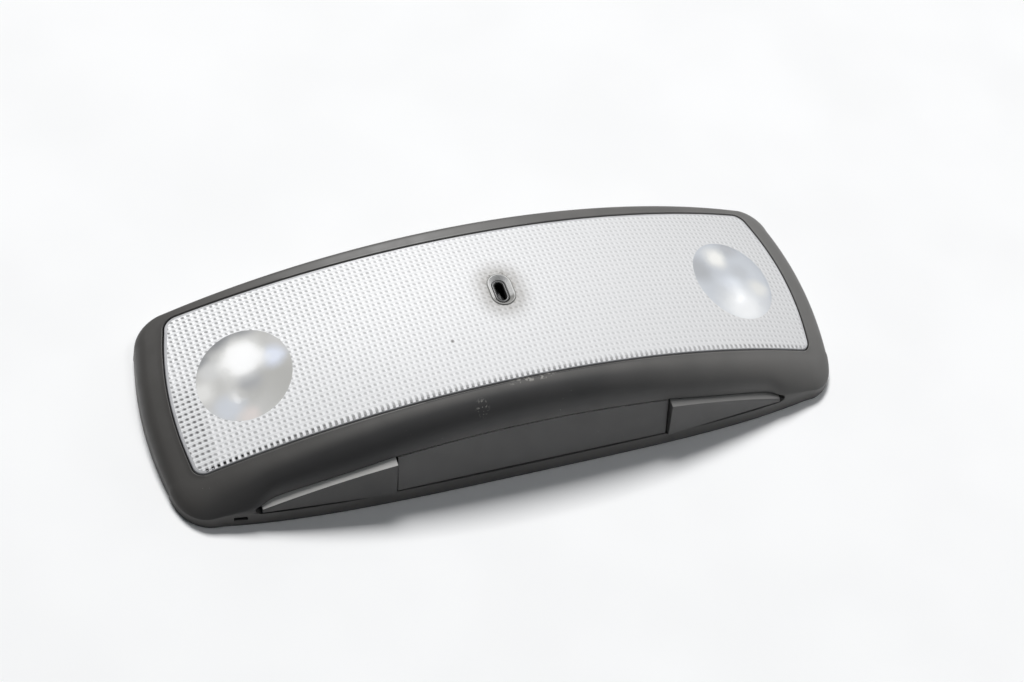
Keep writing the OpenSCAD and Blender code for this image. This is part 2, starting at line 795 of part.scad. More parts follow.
// White trough behind the middle of the lens, open to the front
tray_half_top = 61;
tray_half_floor = 56;
tray_near_top = -19;
tray_near_floor = -13;
tray_far_top = 28.4;
tray_far_floor = 25;
tray_floor = 9.2;
tray_t = 1.2;
module tray_form(inset, low) {
    intersection() {
        translate([0, rim_far, 0])
            rotate([90, 0, 0])
                linear_extrude(rim_near + rim_far)
                    polygon([[-tray_half_floor + inset, low], [tray_half_floor - inset, low],
                        [tray_half_top - inset, apex_height], [-tray_half_top + inset, apex_height]]);
        translate([-bow_at, 0, 0])
            rotate([90, 0, 90])
                linear_extrude(2 * bow_at)
                    polygon([[tray_near_floor + inset, low], [tray_far_floor - inset, low],
                        [tray_far_top - inset, apex_height], [tray_near_top + inset, apex_height]]);
    }
}
module main_reflector() {
    color("white")
        difference() {
            union() {
                intersection() {
                    tray_form(0, tray_floor);
                    face_strip(tray_near_top - 1, tray_far_top + 1, lens_t + prism_depth + 0.4, 40, 8);
                }
                for (x = [-46, 46], y = [-8, 12])
                    translate([x, y, board_top])
                        cylinder(r = 2, h = tray_floor - board_top + 0.5, $fn = 24);
            }
            difference() {
                tray_form(tray_t, tray_floor + tray_t);
                sleeve_tower(sleeve_t + 1.2, tray_floor, 12.5);
            }
            sleeve_tower(sleeve_t + 0.3, 0, 40);
            for (side = [-1, 1], end = [-1, 1])
                translate([side * festoon_x + end * contact_reach - 1, festoon_y - 3.4, tray_floor - 1])
                    cube([2, 6.8, 4]);
        }
}

// Upright sleeve round the sensor, between the board and the slot
sleeve_top = face_z(0, slot_y, funnel_deep + 0.4);
module sleeve_tower(grow, low, high) {
    translate([0, slot_y, low])
        round_slot(sleeve_hole_l + 2 * grow, sleeve_hole_w + 2 * grow, high - low);
}
module sensor_sleeve() {
    color("darkgray")
        difference() {
            sleeve_tower(sleeve_t, board_top, sleeve_top);
            sleeve_tower(0, board_top - 1, sleeve_top + 1);
        }
}

// Sensor capsule with a rib across its face, low in the sleeve
capsule_drop = 2.2;
module sensor_capsule() {
    color("dimgray") {
        sleeve_tower(-0.3, board_top, sleeve_top - capsule_drop);
        translate([-0.5, slot_y - sleeve_hole_l / 2 + 0.8, sleeve_top - capsule_drop - eps])
            cube([1, sleeve_hole_l - 1.6, 1]);
    }
}

// Festoon bulb: a glass barrel between two metal caps with pointed ends
festoon_y = 6;
module festoon_bulb() {
    glass_half = festoon_half - 6;
    cap_r = 3.6;
    translate([0, festoon_y, festoon_z])
        rotate([0, 90, 0])
            rotate_extrude($fn = 40)
                polygon([
                    [0, -festoon_half], [1.2, -festoon_half], [cap_r, -festoon_half + 2.4],
                    [cap_r, -glass_half - 1.2], [festoon_r, -glass_half + 1],
                    [festoon_r, glass_half - 1], [cap_r, glass_half + 1.2],
                    [cap_r, festoon_half - 2.4], [1.2, festoon_half], [0, festoon_half]]);
}
module left_main_bulb() {
    color("white") translate([-festoon_x, 0, 0]) festoon_bulb();
}
module right_main_bulb() {
    color("white") translate([festoon_x, 0, 0]) festoon_bulb();
}

// Spring contact: a strip that stands on the board and takes the bulb's point in a hole
contact_t = 0.5;
contact_w = 6;
contact_reach = festoon_half - 0.4;
module contact(x, way) {
    high = festoon_z + 3.2;
    translate([x, festoon_y, 0])
        difference() {
            union() {
                translate([way > 0 ? -contact_t : 0, -contact_w / 2, board_top])
                    cube([contact_t, contact_w, high - board_top]);
                translate([way > 0 ? -2.6 : 0, -contact_w / 2, board_top])
                    cube([2.6, contact_w, contact_t]);
            }
            translate([-3, 0, festoon_z])
                rotate([0, 90, 0])
                    cylinder(r = 1.9, h = 6, $fn = 32);
        }
}
module left_outer_contact() {
    color("goldenrod") contact(-festoon_x - contact_reach, 1);
}
module left_inner_contact() {
    color("goldenrod") contact(-festoon_x + contact_reach, -1);
}
module right_inner_contact() {
    color("goldenrod") contact(festoon_x - contact_reach, 1);
}
module right_outer_contact() {
    color("goldenrod") contact(festoon_x + contact_reach, -1);
}

module circuit_board() {
    color("seagreen")
        difference() {
            translate([-board_half, board_near, board_z])
                cube([2 * board_half, board_far - board_near, board_t]);
            for (i = [0:header_pins - 1])
                translate([pin_x(i), header_y + pin_side, board_z - 1])
                    cylinder(r = pin_r, h = board_t + 2, $fn = 16);
        }
}

// Micro switch on the board: a block with a plunger hole facing the key side
switch_l = 8;
switch_d = 6.5;
switch_h = 4.6;
switch_front = 8.15 - rim_near;
plunger_r = 1.1;
plunger_room = 0.55;
module key_switch(x) {
    translate([x, 0, 0])
        difference() {
            translate([-switch_l / 2, switch_front, board_top])
                cube([switch_l, switch_d, switch_h]);
            translate([0, switch_front - 1, plunger_z])
                rotate([-90, 0, 0])
                    cylinder(r = plunger_r + plunger_room, h = 5, $fn = 32);
        }
}
module left_key_switch() {
    color("black") key_switch(-key_post_x);
}
module main_key_switch() {
    color("black") key_switch(0);
}
module right_key_switch() {
    color("black") key_switch(key_post_x);
}

// Plunger between a key's post and its switch
module plunger(x, tip) {
    translate([x, tip, plunger_z])
        rotate([-90, 0, 0])
            cylinder(r = plunger_r, h = switch_front + 1 - tip, $fn = 32);
}
post_tip_y = -rim_near + post_up * sin(near_lean) + key_post_deep * cos(near_lean);
plunger_tip = post_tip_y + 0.3;
module left_plunger() {
    color("gold") plunger(-key_post_x, plunger_tip);
}
module main_plunger() {
    color("gold") plunger(0, plunger_tip);
}
module right_plunger() {
    color("gold") plunger(key_post_x, plunger_tip);
}

// Connector on the back of the board: a shroud open to the rear with a row of pins along one side
header_x = 30;
header_y = -8;
header_l = 19;
header_w = 9;
header_pins = 6;
pin_pitch = 2.5;
pin_r = 0.4;
pin_side = 2.1;
function pin_x(i) = header_x + (i - (header_pins - 1) / 2) * pin_pitch;
header_low = 0.5;
header_floor = 1;
module connector_header() {
    color("whitesmoke")
        difference() {
            translate([header_x - header_l / 2, header_y - header_w / 2, header_low])
                cube([header_l, header_w, board_z - header_low]);
            translate([header_x - header_l / 2 + 1, header_y - header_w / 2 + 1, header_low - 1])
                cube([header_l - 2, header_w - 2, board_z - header_floor - header_low + 1]);
            header_pin_row(board_z - 2, board_z + 1);
        }
}
module header_pin_row(low, high) {
    for (i = [0:header_pins - 1])
        translate([pin_x(i), header_y + pin_side, low])
            cylinder(r = pin_r, h = high - low, $fn = 16);
}
module connector_pins() {
    color("goldenrod") header_pin_row(header_low + 1, board_top + 1);
}

// Self-tapping screws that hold the rear cover to the frame
module cover_screws() {
    head_low = 0.6;
    head_r = 2.8;
    slot_l = head_r + 0.4;
    color("lightsteelblue")
        for (side = [-1, 1])
            translate([side * screw_x, -screw_y, 0]) {
                difference() {
                    translate([0, 0, head_low])
                        cylinder(r = head_r, h = screw_seat - head_low, $fn = 40);
                    for (a = [0, 90])
                        rotate([0, 0, a])
                            translate([-slot_l / 2, -0.35, head_low - 1])
                                cube([slot_l, 0.7, 1.6]);
                }
                translate([0, 0, screw_seat - eps])
                    cylinder(r = screw_r, h = boss_top - 0.9 - screw_seat, $fn = 24);
            }
}

// Spring clip that grips the edge of the roof opening, hooked through the rear cover
clip_x = 84;
clip_y = 25.5;
clip_w = 10;
clip_t = 0.8;
module roof_clip(x) {
    foot = cover_top;
    color("lightslategray")
        translate([x - clip_w / 2, clip_y, 0]) {
            translate([0, -clip_t / 2, 0.3])
                cube([clip_w, clip_t, foot - 0.3 + 3.4]);
            translate([0, -clip_t / 2 - 3, foot])
                cube([clip_w, 3 + eps, clip_t]);
        }
}
module left_roof_clip() {
    roof_clip(-clip_x);
}
module right_roof_clip() {
    roof_clip(clip_x);
}

bezel();
lens();
back_housing();
left_reading_button();
right_reading_button();
main_light_switch();
left_reading_reflector();
right_reading_reflector();
main_reflector();
left_reading_bulb();
right_reading_bulb();
left_bulb_holder();
right_bulb_holder();
left_main_bulb();
right_main_bulb();
left_outer_contact();
left_inner_contact();
right_inner_contact();
right_outer_contact();
circuit_board();
left_key_switch();
main_key_switch();
right_key_switch();
left_plunger();
main_plunger();
right_plunger();
connector_header();
connector_pins();
sensor_sleeve();
sensor_capsule();
cover_screws();
left_roof_clip();
right_roof_clip();
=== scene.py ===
import math
from collections import namedtuple

import bpy
import numpy as np
from mathutils import Matrix, Vector
from mathutils.geometry import delaunay_2d_cdt


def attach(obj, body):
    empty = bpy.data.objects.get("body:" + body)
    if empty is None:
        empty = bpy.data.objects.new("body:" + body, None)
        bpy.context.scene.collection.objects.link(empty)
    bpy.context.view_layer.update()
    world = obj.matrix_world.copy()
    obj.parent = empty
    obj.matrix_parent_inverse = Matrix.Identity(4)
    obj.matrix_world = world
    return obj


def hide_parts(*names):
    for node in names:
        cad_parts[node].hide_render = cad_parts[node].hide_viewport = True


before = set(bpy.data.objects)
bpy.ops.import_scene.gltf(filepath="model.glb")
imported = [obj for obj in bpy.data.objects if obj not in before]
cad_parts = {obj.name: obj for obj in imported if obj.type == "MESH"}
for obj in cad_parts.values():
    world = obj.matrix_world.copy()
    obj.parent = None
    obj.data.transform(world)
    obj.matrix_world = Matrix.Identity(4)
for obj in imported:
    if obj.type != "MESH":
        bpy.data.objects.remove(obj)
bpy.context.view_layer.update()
scene = bpy.context.scene
MM = 0.001

# An outline seen from above, the same left and right of the middle: half lengths and edges on the
# key side and the far side, bows at 100 mm from the middle, bow of the ends, radii of the corners
Outline = namedtuple("Outline", "x_near x_far y_near y_far bow_near curl_near bow_far bow_end r_near r_far")

# Sizes of the lamp in millimetres, as in its solids
CROWN_R = 246.0  # crown of the face along the lamp
CROSS_R = 160.0  # crown of the face across the lamp
APEX_Y = 12.2
APEX = 33.8
WALL = 2.2
LEAN = 12.5  # of the wall on the key side, in degrees
RIM_NEAR = 36.15
RIM = Outline(104.6, 105.5, -RIM_NEAR, 38.0, 0.42, 4.8, 0.8, 5.45, 12.8, 9.0)
LENS = Outline(100.0, 97.9, -22.0, 31.0, 1.5, 0.0, -2.9, 3.4, 4.0, 4.0)
LENS_GAP = 0.35
LENS_ROUND = 0.34  # rounding of the lens's edge
LENS_BORDER = 0.8  # plain edge without prisms
WINDOW_X = 80.4
WINDOW_Y = 4.3
WINDOW_R = 14.8
WINDOW_TILT = math.asin(WINDOW_X / CROWN_R)
SLOT_Y = 7.9
SLOT_L = 11.4
SLOT_W = 7.6
SLOT_R = SLOT_W / 2
SLOT_HALF = (SLOT_L - SLOT_W) / 2  # half of the slot's straight part
COLLAR_R = SLOT_R + 0.25  # where the collar meets the lens
PITCH = 1.72  # of the prisms
PIN_R = 0.95  # pivot and guide pins of the keys


def face_z(x, y, depth=0.0):
    """Height of the crowned face, or of a face at a depth under it."""
    r = CROWN_R - (y - APEX_Y) ** 2 / (2 * CROSS_R) - depth
    return np.sqrt(r * r - x * x) + APEX - CROWN_R


# Outlines of the rim and the lens
def grown(o, d):
    """The outline moved outwards by d."""
    return o._replace(x_near=o.x_near + d, x_far=o.x_far + d, y_near=o.y_near - d, y_far=o.y_far + d,
                      r_near=o.r_near + d, r_far=o.r_far + d)


def near_y(o, x):
    return o.y_near + o.bow_near * (x / 100) ** 2 + o.curl_near * (x / 100) ** 4


def far_y(o, x):
    return o.y_far - o.bow_far * (x / 100) ** 2


def end_x(o, y):
    t = (y - o.y_near) / (o.y_far - o.y_near)
    return o.x_near + (o.x_far - o.x_near) * t + 4 * o.bow_end * t * (1 - t)


def end_slope(o, y):
    t = (y - o.y_near) / (o.y_far - o.y_near)
    return (o.x_far - o.x_near + 4 * o.bow_end * (1 - 2 * t)) / (o.y_far - o.y_near)


# Share of the curl that the key side has reached where its corner starts
CURL_SHARE = 0.9


def near_corner(o):
    """Middle of the corner on the key side, and the y at which the end's slope is taken for it."""
    y = o.y_near + o.bow_near + o.curl_near * CURL_SHARE + o.r_near
    x = end_x(o, y) - o.r_near
    return x, near_y(o, x) + o.r_near, y


def far_corner(o):
    """Middle of the corner on the far side, and the y at which the end's slope is taken for it."""
    y = o.y_far - o.bow_far - o.r_far
    x = end_x(o, y) - o.r_far
    return x, far_y(o, x) - o.r_far, y


def half_loop(o, long_n, corner_n, end_n):
    """Points from the middle of the key side round the right end to the middle of the far side.

    The third value of a point tells the side: 0 on the key side, 1 at the end, 2 on the far side.
    """
    near_x0, near_y0, y = near_corner(o)
    slope = (2 * o.bow_near * near_x0 / 100 + 4 * o.curl_near * (near_x0 / 100) ** 3) / 100
    near_from, near_to = math.atan(slope) - math.pi / 2, -math.atan(end_slope(o, y))
    far_x0, far_y0, y = far_corner(o)
    far_from = -math.atan(end_slope(o, y))
    far_to = math.pi / 2 - math.atan(2 * o.bow_far * far_x0 / 10000)
    out = []
    for i in range(long_n):
        x = near_x0 * i / long_n
        out.append((x, near_y(o, x), 0.0))
    for i in range(corner_n + 1):
        a = near_from + (near_to - near_from) * i / corner_n
        out.append((near_x0 + o.r_near * math.cos(a), near_y0 + o.r_near * math.sin(a), i / corner_n))
    y0 = near_y0 + o.r_near * math.sin(near_to)
    y1 = far_y0 + o.r_far * math.sin(far_from)
    for i in range(1, end_n):
        y = y0 + (y1 - y0) * i / end_n
        out.append((end_x(o, y), y, 1.0))
    for i in range(corner_n + 1):
        a = far_from + (far_to - far_from) * i / corner_n
        out.append((far_x0 + o.r_far * math.cos(a), far_y0 + o.r_far * math.sin(a), 1 + i / corner_n))
    for i in range(1, long_n + 1):
        x = far_x0 * (1 - i / long_n)
        out.append((x, far_y(o, x), 2.0))
    return np.array(out)


def whole_loop(o, long_n=120, corner_n=20, end_n=44):
    """Points all the way round an outline."""
    h = half_loop(o, long_n, corner_n, end_n)
    back = h[-2:0:-1].copy()
    back[:, 0] *= -1
    return np.concatenate([h, back])


# Section of the frame on the key side, at the ends and on the far side: how far the rounded shoulder
# reaches over the face, its share of the wall's height, and the lean of the wall in degrees
ON_FACE = (6.6, 3.6, 1.8)
ON_WALL = (0.42, 0.42, 0.07)
LEANS = (LEAN, 3.0, 3.0)
EDGE = 0.28  # rounding of the frame's edge at the lens
EDGE_ANGLES = (0, 22, 45, 68, 90)
SOLVE_STEPS = 8
# Foot strip under the keys: its top, how far it stands out at its foot and at its top, where it starts
# to run into the wall over it along the lamp, and the height at which it is gone there
STRIP_TOP = 5.0
STRIP_FOOT = 1.95
STRIP_HEAD = 2.32
STRIP_ENDS = (80, 88.5)
STRIP_FADE = 14
# Heights of the strip's points, and the small chamfer on its upper and lower edge
STRIP_LEVELS = (4.98, 4.9, 4.7, 3.6, 2.4, 1.2, 0.3, 0.1)
CHAMFER = 0.12
# Plane of the flap, leaning more than the frame's own wall, and where it runs out along the lamp
FLAP_LEAN = 21.3
FLAP_FOOT = 39.31
FLAP_FADE = (46, 78)


def by_side(values, s):
    """Value between those of the key side, the end and the far side."""
    if s <= 1:
        return values[0] + (values[1] - values[0]) * s
    return values[1] + (values[2] - values[1]) * (s - 1)


def wall_share(x, side):
    """Share of the wall's height that the shoulder takes, smaller over the keys."""
    if side > 0:
        return by_side(ON_WALL, side)
    return ON_WALL[0] - 0.09 * (1 - min(1, max(0, (abs(x) - 50) / 40)))


def eased(value, low, high):
    """0 below low, 1 above high, smooth between."""
    t = min(1, max(0, (value - low) / (high - low)))
    return t * t * (3 - 2 * t)


def stand_out(x, side, z):
    """How far the wall on the key side stands out of its plain lean at a height."""
    strip = STRIP_FOOT + (STRIP_HEAD - STRIP_FOOT) * min(z, STRIP_TOP) / STRIP_TOP
    strip *= 1 - eased(side, 0, 1)
    if z < STRIP_TOP:
        return strip
    # Beyond the wedge keys the strip runs smoothly into the wall over it
    ends = strip * eased(abs(x), *STRIP_ENDS) * (1 - eased(z, STRIP_TOP, STRIP_FADE))
    lean = math.tan(math.radians(FLAP_LEAN)) - math.tan(math.radians(LEAN))
    middle = max(0.0, FLAP_FOOT - RIM_NEAR - z * lean) * (1 - eased(abs(x), *FLAP_FADE)) * (side == 0)
    return max(ends, middle)


def skin(height, x, reach, side, depth, steps):
    """One skin of the section as [s, z] points, from the face over the rounded shoulder to the wall."""
    lean = math.radians(by_side(LEANS, side))
    r = reach - depth / math.cos(lean)
    s = r - 1
    for _ in range(SOLVE_STEPS):
        z = height(s, depth)
        s = r - z * math.tan(lean)
    s0 = max(s - by_side(ON_FACE, side), 0.6)
    start = np.array([s0, height(s0, depth)])
    corner = np.array([s, z])
    stop_z = z * (1 - wall_share(x, side))
    out = 0 if depth else stand_out(x, side, stop_z)
    stop = np.array([r - stop_z * math.tan(lean) + out, stop_z])
    points = []
    for i in range(steps + 1):
        t = i / steps
        points.append((1 - t) ** 2 * start + 2 * t * (1 - t) * corner + t * t * stop)
    return points


def frame_section(p, q):
    """Closed section of the frame: lens edge, shoulder, wall, foot, and back along the inner skin."""
    x, side = p[0], p[2]
    d = q[:2] - p[:2]
    reach = float(np.linalg.norm(d))
    way = d / reach
    lean = math.radians(by_side(LEANS, side))

    def height(s, depth=0.0):
        return float(face_z(p[0] + way[0] * s, p[1] + way[1] * s, depth))

    outer = skin(height, x, reach, side, 0, 20)
    under = skin(height, x, reach, side, WALL, 5)
    points = [(0.0, height(0.0, WALL))]
    for a in EDGE_ANGLES:
        t = math.radians(a)
        points.append((EDGE * (1 - math.cos(t)), height(0.0) - EDGE * (1 - math.sin(t))))
    s0 = outer[0][0]
    for i in range(1, 5):
        s = EDGE + (s0 - EDGE) * i / 5
        points.append((s, height(s)))
    points += [tuple(v) for v in outer]
    top = outer[-1][1]
    # Where the wall is low, the heights of its points move down with its top
    low = min(1.0, top / (STRIP_TOP + 0.6))
    levels = [top + ((STRIP_TOP + 0.08) * low - top) * i / 6 for i in range(1, 7)]
    strip_head = len(levels)
    levels += [z * low for z in STRIP_LEVELS]
    for n, z in enumerate(levels):
        cut = CHAMFER if (n == strip_head and abs(x) < 86) or n == len(levels) - 1 else 0.0
        points.append((reach - z * math.tan(lean) + stand_out(x, side, z) - cut, z))
    points.append((reach - 0.35 + stand_out(x, side, 0.0), 0.0))
    points.append((reach - WALL / math.cos(lean), 0.0))
    points += [tuple(v) for v in reversed(under)]
    return [(p[0] + way[0] * s, p[1] + way[1] * s, z) for s, z in points]


def frame_ring():
    """Mesh of the cover frame: its sections joined all the way round."""
    opening = whole_loop(grown(LENS, LENS_GAP))
    rows = np.array([frame_section(p, q) for p, q in zip(opening, whole_loop(RIM))])
    n, m = rows.shape[:2]
    i, j = np.meshgrid(np.arange(n), np.arange(m), indexing="ij")
    a = i * m + j
    b = ((i + 1) % n) * m + j
    c = ((i + 1) % n) * m + (j + 1) % m
    d = i * m + (j + 1) % m
    faces = np.stack([a, b, c, d], -1).reshape(-1, 4)
    return rows.reshape(-1, 3), faces.tolist()


def new_object(name, verts, faces, scale=MM):
    mesh = bpy.data.meshes.new(name)
    mesh.from_pydata((np.asarray(verts) * scale).tolist(), [], faces)
    mesh.update()
    obj = bpy.data.objects.new(name, mesh)
    scene.collection.objects.link(obj)
    return obj


def smooth(obj, angle):
    """Smooth shading with sharp edges over an angle in degrees."""
    mesh = obj.data
    mesh.polygons.foreach_set("use_smooth", [True] * len(mesh.polygons))
    mesh.set_sharp_from_angle(angle=math.radians(angle))
    mesh.update()


# Frame of the plain wall on the key side: u along the lamp, v up the wall, w out of the wall
def on_wall(u, v, w):
    t = math.radians(90 - LEAN)
    return (u, -RIM_NEAR + v * math.cos(t) - w * math.sin(t), v * math.sin(t) + w * math.cos(t))


def flap_wall(u, v, w):
    """Point on the flap's plane: u along the lamp, v up the plane, w out of it."""
    t = math.radians(FLAP_LEAN)
    return (u, -FLAP_FOOT + v * math.sin(t) - w * math.cos(t), v * math.cos(t) + w * math.sin(t))


def prism_faces(n):
    """Faces of a prism whose two outlines of n points follow each other."""
    faces = [list(range(n))[::-1], list(range(n, 2 * n))]
    return faces + [[i, (i + 1) % n, n + (i + 1) % n, n + i] for i in range(n)]


def prism(name, outline, place, w0, w1):
    """Prism of an outline between two distances, with place(u, v, w) giving each point."""
    verts = [place(u, v, w0) for u, v in outline] + [place(u, v, w1) for u, v in outline]
    return new_object(name, verts, prism_faces(len(outline)))


BOX_FACES = [[3, 2, 1, 0], [4, 5, 6, 7], [0, 1, 5, 4], [1, 2, 6, 5], [2, 3, 7, 6], [3, 0, 4, 7]]


def box_corners(low, high):
    (x0, y0, z0), (x1, y1, z1) = low, high
    return [(x, y, z) for z in (z0, z1) for x, y in ((x0, y0), (x1, y0), (x1, y1), (x0, y1))]


def box_mesh(name, low, high):
    return new_object(name, box_corners(low, high), BOX_FACES)


def box_on_wall(low, high):
    """Corners and faces of a box in the frame of the plain wall."""
    return [on_wall(*corner) for corner in box_corners(low, high)], BOX_FACES


def pin_on_wall(start, end, steps=24):
    """Corners and faces of a round pin between two points of the plain wall's frame."""
    a, b = Vector(on_wall(*start)), Vector(on_wall(*end))
    turn = (b - a).to_track_quat("Z", "Y")
    angles = [2 * math.pi * i / steps for i in range(steps)]
    ring = [turn @ Vector((PIN_R * math.cos(t), PIN_R * math.sin(t), 0)) for t in angles]
    return [tuple(a + v) for v in ring] + [tuple(b + v) for v in ring], prism_faces(steps)


def joined(name, parts, side=1):
    """One object of several closed shells, mirrored for the left."""
    verts, faces = [], []
    for v, f in parts:
        base = len(verts)
        verts += [(side * x, y, z) for x, y, z in v]
        faces += [[base + i for i in (face if side > 0 else face[::-1])] for face in f]
    return new_object(name, verts, faces)


def cut_away(obj, cutters):
    """Take the cutters out of a mesh, then remove them."""
    for cutter in cutters:
        mod = obj.modifiers.new("cut", "BOOLEAN")
        mod.operation = "DIFFERENCE"
        mod.solver = "EXACT"
        mod.object = cutter
    bpy.context.view_layer.update()
    done = obj.evaluated_get(bpy.context.evaluated_depsgraph_get())
    mesh = bpy.data.meshes.new_from_object(done)
    obj.modifiers.clear()
    old = obj.data
    obj.data = mesh
    bpy.data.meshes.remove(old)
    for cutter in cutters:
        bpy.data.objects.remove(cutter)


# Flap and wedge outlines: the flap on its own plane, the wedges seen from the key side
FLAP_HALF = 43.6
FLAP_LOW = 5.8
FLAP_HIGH = 20.9
FLAP_ARCH = 2.5
FLAP_ARCH_R = (FLAP_HALF ** 2 + FLAP_ARCH ** 2) / (2 * FLAP_ARCH)
WEDGE_BOW = 0.9  # rise of the wedge keys' upper edge over a straight line
WEDGE_STEPS = 8
# Height of the keys' posts up the wall
POST_UP = (9.2 + 4.8 * math.sin(math.radians(LEAN))) / math.cos(math.radians(LEAN))
POST_END = -4.5


def flap_outline(side_gap, top_gap):
    half = FLAP_HALF + side_gap
    out = [(-half, FLAP_LOW - side_gap), (half, FLAP_LOW - side_gap)]
    for i in range(61):
        x = half - 2 * half * i / 60
        out.append((x, FLAP_HIGH - FLAP_ARCH_R + math.sqrt((FLAP_ARCH_R + top_gap) ** 2 - x * x)))
    return out


def wedge_opening(side):
    """Cutter of a wedge key's opening: lower edge, round outer end, bowed upper edge."""
    out = [(43.9, 4.62), (84.9, 4.62)]
    for a in range(-80, 81, 20):
        t = math.radians(a)
        out.append((85.4 + 0.95 * math.cos(t), 5.85 + 0.95 * math.sin(t)))
    for i in range(WEDGE_STEPS + 1):
        t = i / WEDGE_STEPS
        out.append((83.9 - 40 * t, 7.15 + 10.27 * t + 4 * WEDGE_BOW * t * (1 - t)))
    out = [(side * u, v) for u, v in out]
    if side < 0:
        out.reverse()
    return prism("wedge_cut", out, lambda u, v, w: (u, -w, v), 27.0, 42.0)


def wedge_key(name, side):
    """Wedge key: a front that tapers to the outer end under a ledge, with its post, arm and pivot pin."""
    # Lower edge from the inner to the outer end, then the bowed upper edge back, in front and behind
    front = [(44.25, -38.0, 5.3), (84.4, -34.7, 5.3)]
    back = [(44.25, -34.6, 5.3), (84.4, -31.5, 5.3)]
    for i in range(WEDGE_STEPS + 1):
        t = i / WEDGE_STEPS
        bow = 4 * WEDGE_BOW * t * (1 - t)
        front.append((84.3 - 40.05 * t, -34.25 - 0.75 * t, 6.3 + 10.3 * t + bow))
        back.append((84.3 - 40.05 * t, -31.15 - 0.7 * t, 6.85 + 10.25 * t + bow))
    # Front and back run the other way round than the outlines of a prism do
    n = len(front)
    faces = [list(range(n)), list(range(n, 2 * n))[::-1]]
    faces += [[(i + 1) % n, i, n + i, n + (i + 1) % n] for i in range(n)]
    parts = [(front + back, faces),
             box_on_wall((50.8, POST_UP - 1.5, POST_END), (53.2, POST_UP + 1.5, 0.4)),
             box_on_wall((81.7, 6.0, -9.2), (84.2, 7.4, -2.7)),
             pin_on_wall((83.3, 6.2, -7.6), (83.3, 4.2, -7.6))]
    return joined(name, parts, side)


def flap_switch():
    """Long flap with an arched upper edge, its post and its two guide pins."""
    outline = flap_outline(0.0, 0.0)
    tilt = 0.55 / (FLAP_HIGH - FLAP_LOW)
    verts = [flap_wall(u, v, -2.4) for u, v in outline]
    verts += [flap_wall(u, v, -0.3 + tilt * (v - FLAP_LOW)) for u, v in outline]
    parts = [(verts, prism_faces(len(outline))),
             box_on_wall((-1.2, POST_UP - 1.5, POST_END), (1.2, POST_UP + 1.5, -1.0))]
    for x in (-39, 39):
        parts.append(pin_on_wall((x, 4.9, -5.8), (x, 4.9, -0.6)))
    return joined("flap", parts)


